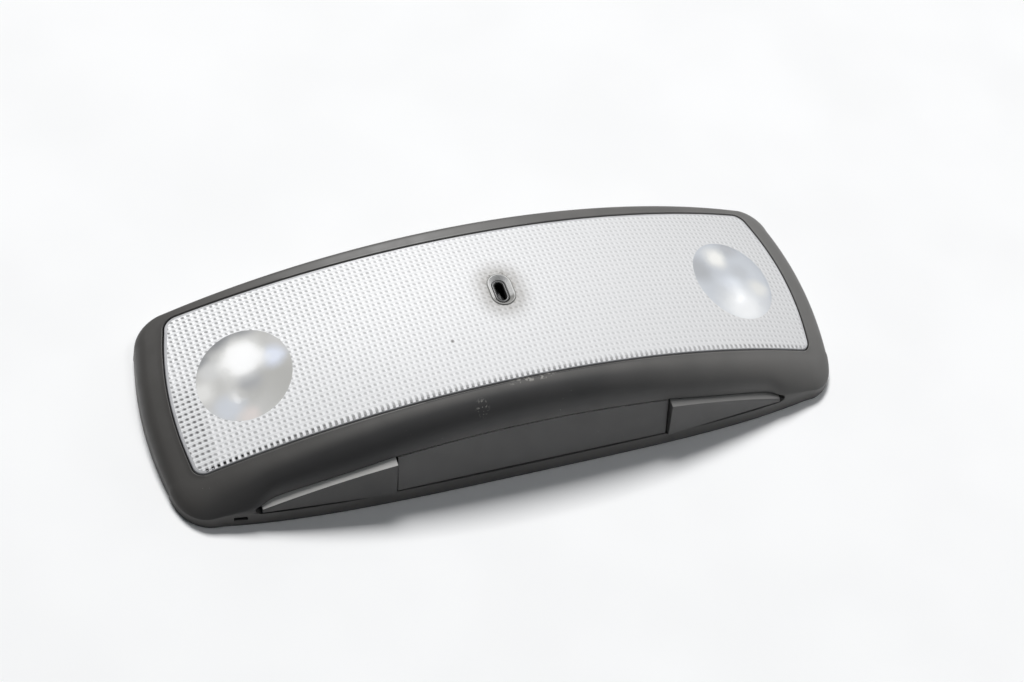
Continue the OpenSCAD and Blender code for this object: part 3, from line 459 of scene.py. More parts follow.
# Materials
class Look:
    """A node material with short calls for its nodes."""

    def __init__(self, name):
        self.mat = bpy.data.materials.new(name)
        self.mat.use_nodes = True
        self.tree = self.mat.node_tree
        self.tree.nodes.clear()
        self.out = self.tree.nodes.new("ShaderNodeOutputMaterial")
        self.coord = self.tree.nodes.new("ShaderNodeTexCoord").outputs["Object"]

    def plug(self, value, socket):
        if isinstance(value, bpy.types.NodeSocket):
            self.tree.links.new(value, socket)
        else:
            socket.default_value = value

    def node(self, kind, settings=None, **inputs):
        n = self.tree.nodes.new(kind)
        for key, value in (settings or {}).items():
            setattr(n, key, value)
        for key, value in inputs.items():
            self.plug(value, n.inputs[key.replace("_", " ")])
        return n

    def m(self, op, *values):
        n = self.tree.nodes.new("ShaderNodeMath")
        n.operation = op
        for i, value in enumerate(values):
            self.plug(value, n.inputs[i])
        return n.outputs[0]

    def mul(self, a, b):
        return self.m("MULTIPLY", a, b)

    def add(self, a, b):
        return self.m("ADD", a, b)

    def sub(self, a, b):
        return self.m("SUBTRACT", a, b)

    def length(self, a, b):
        return self.m("SQRT", self.add(self.mul(a, a), self.mul(b, b)))

    def off(self, value, centre):
        """How far a value is from a centre, either way."""
        return self.m("ABSOLUTE", self.sub(value, centre))

    def xyz(self):
        """Place on the piece in millimetres."""
        n = self.node("ShaderNodeSeparateXYZ", Vector=self.coord)
        return [self.mul(n.outputs[i], 1000.0) for i in range(3)]

    def facing(self):
        """The way the surface faces, as x, y and z from -1 to 1."""
        normal = self.tree.nodes.new("ShaderNodeNewGeometry").outputs["Normal"]
        n = self.node("ShaderNodeSeparateXYZ", Vector=normal)
        return n.outputs[0], n.outputs[1], n.outputs[2]

    def noise(self, size, detail, stretch=(1, 1, 1)):
        """Noise whose features are about size millimetres across, from 0 to 1."""
        place = self.node("ShaderNodeMapping", Vector=self.coord)
        place.inputs["Scale"].default_value = [1000.0 / size * s for s in stretch]
        n = self.node("ShaderNodeTexNoise", Vector=place.outputs[0])
        n.inputs["Scale"].default_value = 1.0
        n.inputs["Detail"].default_value = detail
        return n.outputs["Fac"]

    def ramp(self, value, low, high, smoothly=True):
        """0 at low, 1 at high and beyond."""
        n = self.node("ShaderNodeMapRange", {"interpolation_type": "SMOOTHSTEP" if smoothly else "LINEAR"})
        self.plug(value, n.inputs["Value"])
        self.plug(low, n.inputs["From Min"])
        self.plug(high, n.inputs["From Max"])
        return n.outputs["Result"]

    def fall(self, value, low, high):
        """1 at low, 0 at high and beyond."""
        return self.sub(1.0, self.ramp(value, low, high))

    def cloud(self, size, detail):
        """Soft clouds that reach from 0 to 1."""
        return self.ramp(self.noise(size, detail), 0.3, 0.7)

    def mix(self, factor, a, b):
        n = self.node("ShaderNodeMix", {"data_type": "RGBA"})
        self.plug(factor, n.inputs[0])
        self.plug(a, n.inputs[6])
        self.plug(b, n.inputs[7])
        return n.outputs[2]

    def lerp(self, factor, a, b):
        n = self.node("ShaderNodeMix", {"data_type": "FLOAT"})
        self.plug(factor, n.inputs[0])
        self.plug(a, n.inputs[2])
        self.plug(b, n.inputs[3])
        return n.outputs[0]

    def grey(self, tone, blue=None):
        """Neutral colour of a tone, with its own blue if one is given."""
        n = self.node("ShaderNodeCombineColor", Red=tone, Green=tone, Blue=tone if blue is None else blue)
        return n.outputs[0]

    def bump(self, height, strength, distance, normal=None):
        n = self.node("ShaderNodeBump", Height=height)
        n.inputs["Strength"].default_value = strength
        n.inputs["Distance"].default_value = distance
        if normal is not None:
            self.plug(normal, n.inputs["Normal"])
        return n.outputs["Normal"]

    def rounded(self, radius):
        n = self.node("ShaderNodeBevel", {"samples": 4})
        n.inputs["Radius"].default_value = radius
        return n.outputs["Normal"]

    def shader(self, color, rough, normal=None, metallic=0.0, specular=0.5):
        n = self.tree.nodes.new("ShaderNodeBsdfPrincipled")
        self.plug(color, n.inputs["Base Color"])
        self.plug(rough, n.inputs["Roughness"])
        n.inputs["Metallic"].default_value = metallic
        n.inputs["Specular IOR Level"].default_value = specular
        if normal is not None:
            self.plug(normal, n.inputs["Normal"])
        return n

    def blend(self, factor, a, b):
        """Mix of two shaders."""
        n = self.node("ShaderNodeMixShader", Fac=factor)
        self.tree.links.new(a.outputs[0], n.inputs[1])
        self.tree.links.new(b.outputs[0], n.inputs[2])
        return n

    def finish(self, shader):
        self.tree.links.new(shader.outputs[0], self.out.inputs["Surface"])
        return self.mat


def srgb(r, g, b):
    """Linear colour of an sRGB colour given from 0 to 255."""
    out = []
    for v in (r / 255, g / 255, b / 255):
        out.append(v / 12.92 if v <= 10 / 255 else ((v + 0.055) / 1.055) ** 2.4)
    return tuple(out) + (1.0,)


FINE_BUMP = 0.00003  # metres
SOFT_BUMP = 0.0001


def moulded(name, color, rough, grain, mottle=0.06, dust=0.0, edge=0.0002, ledge=None):
    """Moulded plastic with a fine grain, soft mottling and rounded edges.

    A ledge colour, if given, is painted on the faces that look up as painted light.
    """
    k = Look(name)
    cloud = k.noise(14, 3)
    light = tuple(min(1, c * (1 + mottle)) for c in color[:3]) + (1.0,)
    dark = tuple(c * (1 - mottle) for c in color[:3]) + (1.0,)
    col = k.mix(k.ramp(cloud, 0.3, 0.7), dark, light)
    if dust:
        speck = k.ramp(k.noise(0.55, 1), 0.80 - dust * 0.02, 0.84)
        patch = k.ramp(k.noise(22, 2), 0.45, 0.75)
        col = k.mix(k.mul(speck, patch), col, srgb(190, 188, 182))
    # Painted light: the ledge colour on the faces that look up
    if ledge:
        up = k.ramp(k.facing()[2], 0.75, 0.93)
        col = k.mix(k.mul(up, k.lerp(cloud, 0.7, 1.0)), col, ledge)
    r = k.lerp(k.cloud(5, 3), rough - 0.03, rough + 0.04)
    normal = k.bump(k.noise(grain, 2), 0.35, FINE_BUMP, k.rounded(edge))
    return k.finish(k.shader(col, r, normal))


def spot(k, x, y, cx, cy, r):
    """1 at a place, falling softly to 0 at a distance of r millimetres."""
    return k.fall(k.length(k.sub(x, cx), k.sub(y, cy)), 0.2 * r, r)


def frame_plastic():
    """Satin grey of the cover frame, with its chips, scratch and specks, and with painted shade and painted
    light by facing and by place.
    """
    k = Look("frame_plastic")
    x, y = k.xyz()[:2]
    col = k.mix(k.cloud(16, 3), srgb(94, 93, 91), srgb(103, 101, 99))
    # Painted shade: the curved shoulder over the keys is painted darker than the walls, most towards the
    # left
    nx, ny, nz = k.facing()
    shoulder_shade = k.mul(k.ramp(ny, -0.22, -0.5), k.mul(k.ramp(nz, 0.18, 0.4), k.ramp(x, 90.0, 20.0)))
    shoulder_shade = k.mul(shoulder_shade, k.lerp(k.ramp(x, 40.0, -70.0, False), 0.36, 0.97))
    col = k.mix(shoulder_shade, col, srgb(50, 51, 54))
    # Painted shade on the faces that look to the far side
    col = k.mix(k.mul(k.ramp(ny, 0.2, 0.7), 0.5), col, srgb(66, 65, 63))
    # Painted shade on the faces that look to the left end
    col = k.mix(k.mul(k.ramp(nx, -0.2, -0.7), 0.8), col, srgb(62, 60, 58))
    # Painted shade towards the left end, painted light towards the right end
    col = k.mix(k.mul(k.ramp(x, 30.0, -95.0, False), 0.65), col, srgb(70, 68, 66))
    col = k.mix(k.mul(k.ramp(x, 20.0, 100.0, False), 0.5), col, srgb(112, 111, 109))
    # Chips below the lens on the key side, and a scratch on the shoulder
    chip = k.mul(k.ramp(k.m("ABSOLUTE", x), 8.0, 5.0), k.ramp(y, -23.9, -23.3))
    chip = k.mul(chip, k.mul(k.ramp(y, -15.0, -20.0), k.ramp(k.noise(1.1, 2), 0.52, 0.6)))
    scratch = k.mul(spot(k, x, y, -17.0, -27.5, 2.6), k.ramp(k.noise(0.8, 1), 0.56, 0.62))
    col = k.mix(k.mul(k.m("MAXIMUM", chip, scratch), 0.7), col, srgb(176, 174, 168))
    speck = k.ramp(k.noise(0.6, 1), 0.775, 0.82)
    patch = k.ramp(k.noise(26, 2), 0.5, 0.72)
    col = k.mix(k.mul(speck, patch), col, srgb(150, 150, 148))
    r = k.lerp(k.cloud(6, 3), 0.42, 0.5)
    normal = k.bump(k.noise(0.28, 2), 0.3, FINE_BUMP, k.rounded(0.00022))
    return k.finish(k.shader(col, r, normal, specular=0.45))


def prism_place(k, value):
    """Place within a row of prisms, from 0 to 1; whole prisms are added so that it is never negative."""
    return k.m("FRACT", k.add(k.m("DIVIDE", value, PITCH), 400.0))


def prism_light_and_shade(k, x, y, fu, fv):
    """Painted light and shade of the square prisms over the white trough; fu and fv are the place within a
    prism.
    """
    wob = k.mul(k.sub(k.noise(1.3, 2), 0.5), 0.5)
    du = k.add(k.sub(fu, 0.42), wob)
    dv = k.sub(fv, 0.5)
    # Painted shade: dark dash of each prism, slanted across the cell
    dark = k.fall(k.length(k.mul(k.add(du, dv), 2.2), k.mul(k.sub(du, dv), 1.4)), 0.3, 1.0)
    # Painted highlight: bright glint beside it
    painted_glint = k.fall(k.length(k.sub(fu, 0.86), k.sub(fv, 0.42)), 0.08, 0.36)
    # Painted shade: darker line between two rows
    line = k.fall(k.off(fv, 0.98), 0.0, 0.16)
    # Contrast of this painted light and shade falls from the left end to the right and towards the keys
    left = k.ramp(x, 40.0, -100.0, False)
    far = k.ramp(y, -16.0, 30.0, False)
    strength = k.add(0.16, k.mul(k.m("POWER", left, 1.3), k.add(0.24, k.mul(far, 0.2))))
    strength = k.mul(strength, k.add(0.6, k.mul(k.noise(3.0, 2), 0.8)))
    # Painted light: the base tone is lighter towards the left end and the key side
    tone = k.m("MINIMUM", k.sub(0.86, k.mul(k.add(x, k.mul(y, 1.5)), 0.0015)), 0.93)
    tone = k.sub(tone, k.mul(dark, strength))
    tone = k.add(tone, k.mul(painted_glint, k.mul(strength, 0.45)))
    return k.sub(tone, k.mul(line, k.mul(strength, 0.4)))


def slot_spread(k, x, y, cy):
    """Distance from the middle line of the sensor slot, taken at cy."""
    return k.length(k.sub(x, 0.0), k.m("MAXIMUM", k.sub(k.off(y, cy), SLOT_HALF), 0.0))


def lens_prisms():
    """Prisms of the lens as painted light and shade, with teeth of painted shade, the dirt round the slot
    and a speck.
    """
    k = Look("lens_prisms")
    x, y = k.xyz()[:2]
    fu, fv = prism_place(k, x), prism_place(k, y)
    tone = prism_light_and_shade(k, x, y, fu, fv)
    # Painted shade: teeth along the edge on the key side, where the dark frame shows through the prisms,
    # deeper towards the left
    edge = k.add(k.add(y, 22.0), k.mul(k.mul(x, x), -0.00015))
    band = k.fall(edge, 1.1, 2.1)
    painted_tooth_shade = k.fall(k.off(fu, 0.45), 0.18, 0.32)
    depth = k.add(0.24, k.mul(k.ramp(x, 90.0, -90.0, False), 0.34))
    tone = k.sub(tone, k.mul(k.mul(band, painted_tooth_shade), depth))
    # Streaks along the rows at the left end
    streak = k.fall(k.off(fv, 0.5), 0.1, 0.3)
    streak = k.mul(streak, k.mul(k.ramp(x, -93.0, -95.5), k.ramp(y, 12.0, 2.0)))
    tone = k.sub(tone, k.mul(streak, 0.3))
    # Wide dirt round the sensor slot, and grime close to its collar
    dirt = k.ramp(slot_spread(k, x, y, SLOT_Y), 12.5, 3.6)
    dirt = k.mul(k.m("POWER", dirt, 1.7), k.add(0.3, k.mul(k.noise(1.6, 4), 1.3)))
    near = k.ramp(slot_spread(k, x, y, SLOT_Y + 0.8), 4.6, 3.4)
    grime = k.mul(near, k.ramp(k.noise(0.9, 2), 0.5, 0.62))
    col = k.mix(k.mul(dirt, 0.5), k.grey(tone, k.mul(tone, 1.005)), srgb(124, 117, 106))
    col = k.mix(k.mul(grime, 0.7), col, srgb(72, 68, 62))
    col = k.mix(k.mul(spot(k, x, y, -20.0, -6.0, 0.8), 0.7), col, srgb(70, 66, 60))
    normal = k.bump(k.noise(1.2, 2), 0.06, SOFT_BUMP)
    return k.finish(k.shader(col, 0.5, normal, specular=0.25))


# Painted light and shade of the left and the right window, soft patches that stand in for the light the
# bowls throw
# up, placed and toned one by one: side, plain colour, then each patch's offset from the window's middle, its
# radius, its colour and how strong it is
WINDOW_PAINTED_LIGHT = (
    (-1, (204, 203, 200), (
        (-11, 10.5, 6, (160, 161, 163), 0.9), (-4, 15, 6, (156, 157, 159), 0.95),
        (4, 15, 5, (178, 178, 180), 0.8), (-9, 5, 5, (222, 222, 221), 0.9),
        (9, -6, 11, (186, 185, 181), 0.9), (13, 7, 6, (212, 211, 210), 0.8),
        (-13, -1, 6, (232, 231, 228), 1.0), (-7, -9, 7, (212, 217, 226), 0.9),
        (-2, -14, 5, (232, 222, 218), 0.9), (1, -2, 6, (178, 179, 182), 0.8),
        (-3, -6, 3, (214, 213, 210), 0.6), (9, 2.5, 5.5, (230, 236, 250), 1.0),
        (0, 5.5, 10, (255, 255, 253), 1.0), (1, 5, 7, (255, 255, 255), 1.0),
        (-6, 15, 6, (146, 147, 149), 0.9), (2, 17, 6, (150, 151, 153), 0.9),
        (-12, 10, 4, (160, 161, 163), 0.8))),
    (1, (204, 208, 214), (
        (-12, 4, 8, (178, 180, 184), 0.95), (3, 13, 6, (186, 188, 192), 0.9),
        (-3, 8.5, 6, (240, 239, 235), 1.0), (4, 3, 5, (190, 193, 198), 0.7),
        (-1, -3, 6, (222, 228, 238), 0.9), (0, -10, 13, (238, 239, 240), 0.9),
        (9, -3, 5, (232, 231, 227), 0.8), (10, -9, 4, (208, 210, 214), 0.7))),
)


def window_painted_light(k):
    """Painted light and shade in the two windows: soft patches standing in for the light the bowl behind
    them throws up.
    """
    x, y = k.xyz()[:2]
    x = k.add(x, k.mul(k.sub(k.noise(5, 3), 0.5), 4.0))
    looks = []
    for side, plain, patches in WINDOW_PAINTED_LIGHT:
        col = srgb(*plain)
        for dx, dy, r, tone, amount in patches:
            f = spot(k, x, y, side * WINDOW_X + dx, WINDOW_Y + dy, r)
            col = k.mix(k.mul(f, amount), col, srgb(*tone))
        looks.append(col)
    return k.mix(k.m("GREATER_THAN", x, 0.0), *looks)


def lens_clear():
    """Windows: hazy skin of painted light and shade with a faint painted glow, over frosted clear plastic
    that softens the bowl behind.
    """
    k = Look("lens_clear")
    normal = k.bump(k.noise(3.0, 2), 0.05, SOFT_BUMP)
    cloud = window_painted_light(k)
    haze_and_painted_light = k.shader(cloud, 0.5, normal, specular=0.25)
    # Painted glow: a faint light given off where the painted patches are lightest, standing in for the light
    # the bowl throws back
    haze_and_painted_light.inputs["Emission Color"].default_value = (1, 1, 1, 1)
    k.plug(k.mul(k.ramp(cloud, 0.7, 1.0), 0.17), haze_and_painted_light.inputs["Emission Strength"])
    soft = k.node("ShaderNodeBsdfRefraction", Color=srgb(246, 248, 252), Roughness=0.5, IOR=1.45,
                  Normal=normal)
    clear = k.node("ShaderNodeBsdfTransparent")
    window = k.blend(0.86, k.blend(0.88, clear, soft), haze_and_painted_light)
    # Light reaches the bowl as if the window were open
    shadow = k.node("ShaderNodeLightPath").outputs["Is Shadow Ray"]
    return k.finish(k.blend(k.mul(shadow, 0.9), window, clear))


def lens_border():
    """Plain edge of the lens, without prisms."""
    k = Look("lens_border")
    tone = k.lerp(k.cloud(5, 2), 0.5, 0.6)
    return k.finish(k.shader(k.grey(tone, k.mul(tone, 1.02)), 0.2, k.bump(k.noise(1.2, 2), 0.05, SOFT_BUMP)))


def plated():
    """Vapour-plated bowl with soft reflections."""
    k = Look("reflector_plate")
    col = k.mix(k.cloud(9, 3), srgb(226, 225, 222), srgb(240, 239, 236))
    r = k.lerp(k.cloud(4, 2), 0.26, 0.34)
    return k.finish(k.shader(col, r, k.bump(k.noise(6, 2), 0.08, 0.0003), metallic=0.2))


def collar_white_painted_shade():
    """White collar of the sensor slot, with painted shade: grey where it looks away from the keys."""
    k = Look("collar_plastic")
    col = k.mix(k.cloud(2.0, 2), srgb(246, 245, 243), srgb(252, 251, 250))
    col = k.mix(k.ramp(k.facing()[1], -0.1, 0.25), col, srgb(150, 149, 146))
    return k.finish(k.shader(col, 0.35, k.bump(k.noise(0.8, 2), 0.05, SOFT_BUMP)))


def metal(name, color, rough):
    """Metal with fine streaks."""
    k = Look(name)
    dark = tuple(c * 0.85 for c in color[:3]) + (1.0,)
    streak = k.noise(0.5, 3, stretch=(1, 1, 8))
    col = k.mix(k.ramp(streak, 0.3, 0.7), dark, color)
    r = k.lerp(streak, rough - 0.06, rough + 0.08)
    return k.finish(k.shader(col, r, k.bump(streak, 0.12, FINE_BUMP, k.rounded(0.0001)), metallic=1.0))


def glass():
    """Clear glass of the bulbs."""
    k = Look("bulb_glass")
    n = k.shader(srgb(236, 238, 240), k.lerp(k.noise(4, 2), 0.02, 0.06))
    n.inputs["Transmission Weight"].default_value = 0.9
    n.inputs["IOR"].default_value = 1.3
    return k.finish(n)


def board():
    """Green board with a plain net of tracks."""
    k = Look("board_laminate")
    x, y = k.xyz()[:2]
    fx = k.m("FRACT", k.m("DIVIDE", k.add(x, 200.0), 5.08))
    fy = k.m("FRACT", k.m("DIVIDE", k.add(y, 200.0), 3.3))
    track = k.m("MAXIMUM", k.m("LESS_THAN", fx, 0.12), k.m("LESS_THAN", fy, 0.14))
    col = k.mix(k.mul(track, 0.5), srgb(30, 92, 58), srgb(64, 128, 84))
    col = k.mix(k.cloud(12, 3), col, srgb(34, 98, 62))
    return k.finish(k.shader(col, 0.35, k.bump(track, 0.1, FINE_BUMP)))


def give(node, mat):
    """Put a material on every face of a CAD node."""
    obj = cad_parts[node]
    obj.data.materials.clear()
    obj.data.materials.append(mat)
    for p in obj.data.polygons:
        p.material_index = 0


# Lens
LENS_LOOP = (120, 12, 40)  # points of its outline on a long side, at a corner and at an end
PRISMS, CLEAR, BORDER = 0, 1, 2  # its materials
BORDER_END = -20  # the key side has teeth in place of the border
GRID = 1.25  # spacing of the points on the face, which keep clear of the loops
CLEAR_OF_EDGE, CLEAR_OF_SLOT, CLEAR_OF_WINDOW = 1.4, 0.4, 0.45


def inside(x, y, grow):
    """Whether points lie inside the lens outline moved outwards by grow."""
    o = grown(LENS, grow)
    ax = np.abs(x)
    cx, cy, _ = near_corner(o)
    near = (ax <= cx) | (y >= cy) | (np.hypot(ax - cx, y - cy) < o.r_near)
    cx, cy, _ = far_corner(o)
    far = (ax <= cx) | (y <= cy) | (np.hypot(ax - cx, y - cy) < o.r_far)
    return (y > near_y(o, x)) & (y < far_y(o, x)) & (ax < end_x(o, y)) & near & far


def window_distance(x, y, side):
    """Distance from the middle of a window, measured along the crowned face."""
    return np.hypot((x - side * WINDOW_X) / math.cos(WINDOW_TILT), y - WINDOW_Y)


def slot_distance(x, y):
    """Distance from the middle line of the sensor slot."""
    return np.hypot(x, np.maximum(np.abs(y - SLOT_Y) - SLOT_HALF, 0))


def slot_ring(r, steps=24):
    """Points all the way round the sensor slot at a distance from its middle line."""
    out = []
    for turn, end in ((0, SLOT_HALF), (math.pi, -SLOT_HALF)):
        for i in range(steps + 1):
            t = turn + math.pi * i / steps
            out.append((r * math.cos(t), end + r * math.sin(t) + SLOT_Y))
    return np.array(out)


def on_face(loop, depth=0.0, rise=0.0):
    """Points at given places on the crowned face, on one at a depth under it, or at a rise over it."""
    return [tuple(v) for v in np.column_stack([loop, face_z(loop[:, 0], loop[:, 1], depth) + rise])]


def lens_net():
    """Places and triangles of the lens's face, cut along its border, its windows and the collar."""
    points, edges = [], []

    def add_loop(loop):
        start, count = len(points), len(loop)
        points.extend(tuple(p) for p in loop)
        edges.extend((start + i, start + (i + 1) % count) for i in range(count))

    for inset in (LENS_ROUND, LENS_BORDER):
        add_loop(whole_loop(grown(LENS, -inset), *LENS_LOOP)[:, :2])
    t = np.linspace(0, 2 * math.pi, 120, endpoint=False)
    for side in (-1, 1):
        add_loop(np.column_stack([side * WINDOW_X + WINDOW_R * math.cos(WINDOW_TILT) * np.cos(t),
                                  WINDOW_Y + WINDOW_R * np.sin(t)]))
    add_loop(slot_ring(COLLAR_R))
    x, y = np.meshgrid(np.arange(-103, 103.1, GRID), np.arange(-23, 35, GRID))
    # A small shift keeps the grid off the middle lines of the loops
    x, y = x.ravel() + 0.013, y.ravel() + 0.007
    keep = inside(x, y, -CLEAR_OF_EDGE) & (np.abs(slot_distance(x, y) - COLLAR_R) > CLEAR_OF_SLOT)
    for side in (-1, 1):
        keep &= np.abs(window_distance(x, y, side) - WINDOW_R) > CLEAR_OF_WINDOW
    points += list(zip(x[keep].tolist(), y[keep].tolist()))
    out = delaunay_2d_cdt([Vector(p) for p in points], edges, [], 0, 1e-5)
    return np.array([tuple(v) for v in out[0]]), out[2]


def lens_piece(materials):
    """Outer skin of the lens: its edge, the prisms, the plain border and the clear windows."""
    rings = [(0.0, 4.2), (0.0, 0.45), (0.02, 0.3), (0.09, 0.12), (0.2, 0.03), (LENS_ROUND, 0.0)]
    verts, faces, slots = [], [], []
    for inset, drop in rings:
        verts += on_face(whole_loop(grown(LENS, -inset), *LENS_LOOP)[:, :2], drop)
    n = len(verts) // len(rings)
    for a in range(0, n * (len(rings) - 1), n):
        for i in range(n):
            j = (i + 1) % n
            faces.append([a + i, a + j, a + n + j, a + n + i])
            slots.append(BORDER)
    flat, triangles = lens_net()
    base = len(verts)
    verts += on_face(flat)
    for tri in triangles:
        corners = flat[list(tri)]
        x, y = corners.mean(axis=0)
        if not inside(x, y, -LENS_ROUND + 1e-4) or slot_distance(x, y) < COLLAR_R:
            continue
        (ax, ay), (bx, by), (cx, cy) = corners
        upward = (bx - ax) * (cy - ay) - (by - ay) * (cx - ax) > 0
        faces.append([base + i for i in (tri if upward else tri[::-1])])
        if min(window_distance(x, y, side) for side in (-1, 1)) < WINDOW_R:
            slots.append(CLEAR)
        elif y > BORDER_END and not inside(x, y, -LENS_BORDER + 1e-3):
            slots.append(BORDER)
        else:
            slots.append(PRISMS)
    obj = new_object("lens_diffuser", verts, faces)
    for mat in materials:
        obj.data.materials.append(mat)
    obj.data.polygons.foreach_set("material_index", slots)
    smooth(obj, 40)
    return obj


def slot_shell(name, profile, mats, first_rings=0):
    """Shell round the sensor slot, from rings of a radius and a height over the lens's face.

    The bands of the first rings get the second material, the rest the first.
    """
    verts, faces, slots = [], [], []
    for radius, height in profile:
        verts += on_face(slot_ring(radius), rise=height)
    count = len(verts) // len(profile)
    for k in range(len(profile) - 1):
        for i in range(count):
            j = (i + 1) % count
            faces.append([k * count + i, k * count + j, (k + 1) * count + j, (k + 1) * count + i])
            slots.append(1 if k < first_rings else 0)
    obj = new_object(name, verts, faces)
    for mat in mats:
        obj.data.materials.append(mat)
    obj.data.polygons.foreach_set("material_index", slots)
    smooth(obj, 50)
    return obj


# Raised collar of the sensor slot with its bevel down to the sleeve, and the sleeve's lip inside it
COLLAR_RINGS = [(COLLAR_R, 0.0), (SLOT_R + 0.1, 0.03), (SLOT_R + 0.02, 0.12), (SLOT_R - 0.04, 0.24),
                (SLOT_R - 0.14, 0.3), (SLOT_R - 0.26, 0.3), (SLOT_R - 0.36, 0.26), (SLOT_R - 0.5, 0.1),
                (SLOT_R - 1.2, -0.72), (SLOT_R - 1.3, -0.85), (SLOT_R - 1.42, -0.95), (SLOT_R - 1.45, -2.4)]
COLLAR_OUTER = 5  # bands of the collar's outer rim
LIP_RINGS = [(2.2, -2.5), (2.2, -1.02), (2.1, -0.94), (1.5, -0.94), (1.36, -1.04), (1.3, -1.3), (1.3, -2.6)]

# Build the pieces
bezel = new_object("cover_frame", *frame_ring())
cutters = [prism("flap_cut", flap_outline(0.4, 0.2), flap_wall, -7.0, 4.0),
           wedge_opening(-1), wedge_opening(1)]
# Slots for the rear cover's tongues in the wall on the far side
TONGUES_X = (-70, 0, 70)
TONGUE_HALF = 6.3
tongue_y = RIM.y_far - WALL
for tongue_x in TONGUES_X:
    cutters.append(box_mesh("tongue_cut", (tongue_x - TONGUE_HALF, tongue_y - 2, 0.39),
                            (tongue_x + TONGUE_HALF, tongue_y + 1.3, 2.1)))
# Notch to pry the lamp out, in the foot strip at the left end
notch_y = near_y(RIM, 90)
cutters.append(box_mesh("pry_cut", (-92.6, notch_y - 4, 2.5), (-88.6, notch_y + 0.6, 3.9)))
cut_away(bezel, cutters)
bezel.data.materials.append(frame_plastic())
smooth(bezel, 35)
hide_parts("bezel")
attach(bezel, "lamp")

# The keys are of one plastic: the left wedge is painted darker as painted shade, and the ledge colours,
# lightest on the left, are painted light on the faces that look up
for piece, node, body, color, ledge in (
        (wedge_key("left_wedge", -1), "left_reading_button", "left_key", (75, 74, 73), (206, 204, 201)),
        (wedge_key("right_wedge", 1), "right_reading_button", "right_key", (97, 96, 95), (132, 131, 129)),
        (flap_switch(), "main_light_switch", "main_key", (93, 92, 91), (170, 168, 165))):
    piece.data.materials.append(moulded(body + "_plastic", srgb(*color), 0.45, 0.26, 0.05,
                                        dust=0.5, edge=0.00022, ledge=srgb(*ledge)))
    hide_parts(node)
    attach(piece, body)

lens = lens_piece([lens_prisms(), lens_clear(), lens_border()])
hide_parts("lens")
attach(lens, "lamp")
collar_rim = moulded("collar_rim", srgb(150, 149, 146), 0.35, 0.6, 0.06, edge=0.0001)
collar = slot_shell("slot_collar", COLLAR_RINGS, [collar_white_painted_shade(), collar_rim], COLLAR_OUTER)
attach(collar, "lamp")
lip_mat = moulded("lip_plastic", srgb(46, 46, 46), 0.4, 0.4, 0.05, edge=0.0001)
lip = slot_shell("sleeve_lip", LIP_RINGS, [lip_mat])
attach(lip, "lamp")

# Materials of the CAD nodes that show as they are
for mat, nodes in (
        (moulded("cover_plastic", srgb(52, 52, 53), 0.5, 0.4), ["back_housing"]),
        (moulded("white_plastic", srgb(232, 232, 228), 0.4, 0.5, 0.02), ["main_reflector"]),
        (board(), ["circuit_board"]),
        (moulded("header_plastic", srgb(226, 223, 214), 0.4, 0.5, 0.03), ["connector_header"]),
        (moulded("sleeve_plastic", srgb(58, 58, 59), 0.4, 0.4, 0.05), ["sensor_sleeve"]),
        (moulded("sensor_plastic", srgb(26, 26, 28), 0.5, 0.6, 0.05, edge=0.0001), ["sensor_capsule"]),
        (metal("screw_steel", srgb(170, 171, 172), 0.32), ["cover_screws"]),
        (plated(), ["left_reading_reflector", "right_reading_reflector"]),
        (glass(), ["left_reading_bulb", "right_reading_bulb", "left_main_bulb", "right_main_bulb"]),
        (moulded("holder_plastic", srgb(176, 175, 170), 0.4, 0.4, 0.03),
         ["left_bulb_holder", "right_bulb_holder"]),
        (metal("contact_metal", srgb(196, 164, 96), 0.28),
         ["left_outer_contact", "left_inner_contact", "right_inner_contact", "right_outer_contact"]),
        (moulded("switch_plastic", srgb(38, 38, 40), 0.45, 0.4),
         ["left_key_switch", "main_key_switch", "right_key_switch"]),
        (moulded("plunger_plastic", srgb(176, 62, 50), 0.3, 0.5),
         ["left_plunger", "main_plunger", "right_plunger"]),
        (metal("clip_steel", srgb(140, 142, 146), 0.34), ["left_roof_clip", "right_roof_clip"]),
        (metal("pin_metal", srgb(204, 190, 150), 0.25), ["connector_pins"])):
    for node in nodes:
        give(node, mat)

# Floor, just under the rim
FLOOR_HALF = 3
FLOOR_Z = -0.00002
k = Look("floor_white")
tone = k.lerp(k.cloud(60, 2), 0.90, 0.93)
tone = k.mul(tone, k.lerp(k.ramp(k.xyz()[1], -150.0, 250.0, False), 1.05, 0.96))
floor_mat = k.finish(k.shader(k.grey(tone), 0.6, specular=0.2))
corners = [(sx * FLOOR_HALF, sy * FLOOR_HALF, FLOOR_Z) for sx, sy in ((-1, -1), (1, -1), (1, 1), (-1, 1))]
floor = new_object("floor", corners, [[0, 1, 2, 3]], 1.0)
floor.data.materials.append(floor_mat)

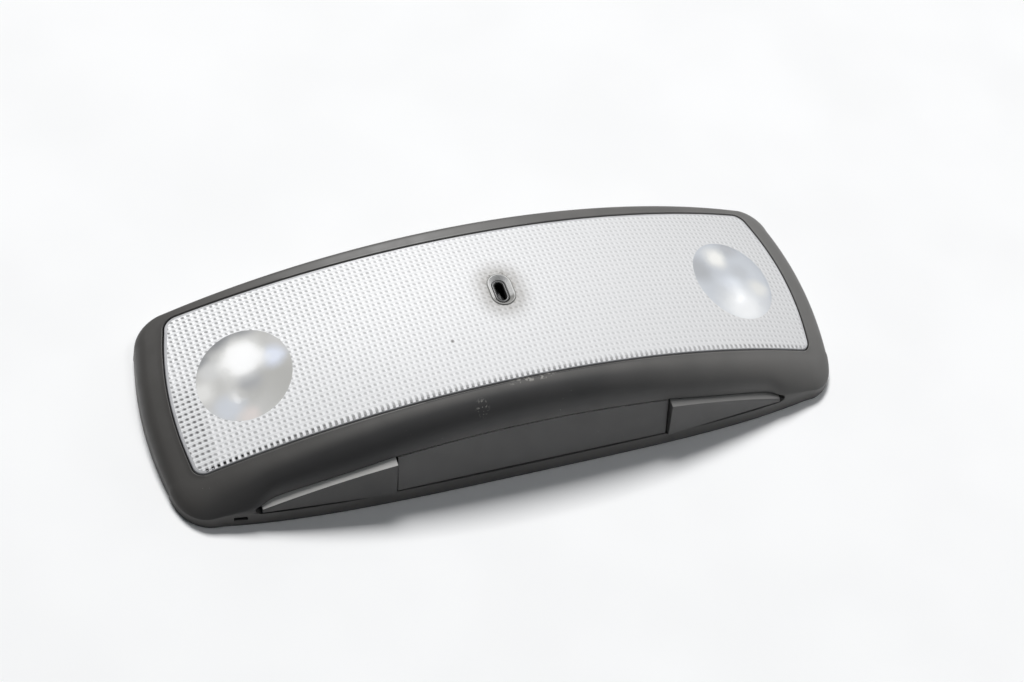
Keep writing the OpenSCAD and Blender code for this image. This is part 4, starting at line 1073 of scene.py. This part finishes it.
# Light: a dim cool room, a large soft lamp above and behind, and two weak ones
world = bpy.data.worlds.new("room")
scene.world = world
world.use_nodes = True
world.node_tree.nodes["Background"].inputs["Color"].default_value = (0.80, 0.90, 1.0, 1.0)
world.node_tree.nodes["Background"].inputs["Strength"].default_value = 0.075


def area(name, place, size, power):
    """Area lamp that shines on the origin, with its place and size in metres and its power in watts."""
    data = bpy.data.lights.new(name, "AREA")
    data.shape = "RECTANGLE"
    data.size, data.size_y = size
    data.energy = power
    obj = bpy.data.objects.new(name, data)
    obj.location = place
    obj.rotation_euler = (-Vector(place)).to_track_quat("-Z", "Y").to_euler()
    scene.collection.objects.link(obj)


area("soft_back", (0.20, 2.25, 3.10), (1.35, 1.1), 153)
area("soft_right", (1.5, 0.5, 0.6), (0.7, 0.6), 2)
area("small_over", (0.36, -0.2, 1.15), (0.25, 0.25), 1.5)

# Camera at the photo's angle: turn, height and roll in degrees, then shifts and distance in millimetres
TURN, RISE, ROLL = 31.132, 53.570, 14.831
SHIFT_X, SHIFT_Y, DISTANCE, AIM_Y = 1.86, 19.78, 619.1, -12.3
az, el, roll = (math.radians(a) for a in (TURN, RISE, ROLL))
fwd = Vector((math.sin(az) * math.cos(el), math.cos(az) * math.cos(el), -math.sin(el)))
right = Vector((math.cos(az), -math.sin(az), 0))
up = right.cross(fwd)
cam_x = math.cos(roll) * right + math.sin(roll) * up
cam_y = -math.sin(roll) * right + math.cos(roll) * up
place = SHIFT_X * MM * cam_x + SHIFT_Y * MM * cam_y - DISTANCE * MM * fwd + Vector((0, AIM_Y * MM, 0))
cam_data = bpy.data.cameras.new("camera")
cam_data.sensor_width = 36
cam_data.lens = 69.68
cam = bpy.data.objects.new("camera", cam_data)
back = -fwd
cam.matrix_world = Matrix((
    (cam_x.x, cam_y.x, back.x, place.x),
    (cam_x.y, cam_y.y, back.y, place.y),
    (cam_x.z, cam_y.z, back.z, place.z),
    (0, 0, 0, 1)))
scene.collection.objects.link(cam)
scene.camera = cam
scene.view_settings.view_transform = "Standard"
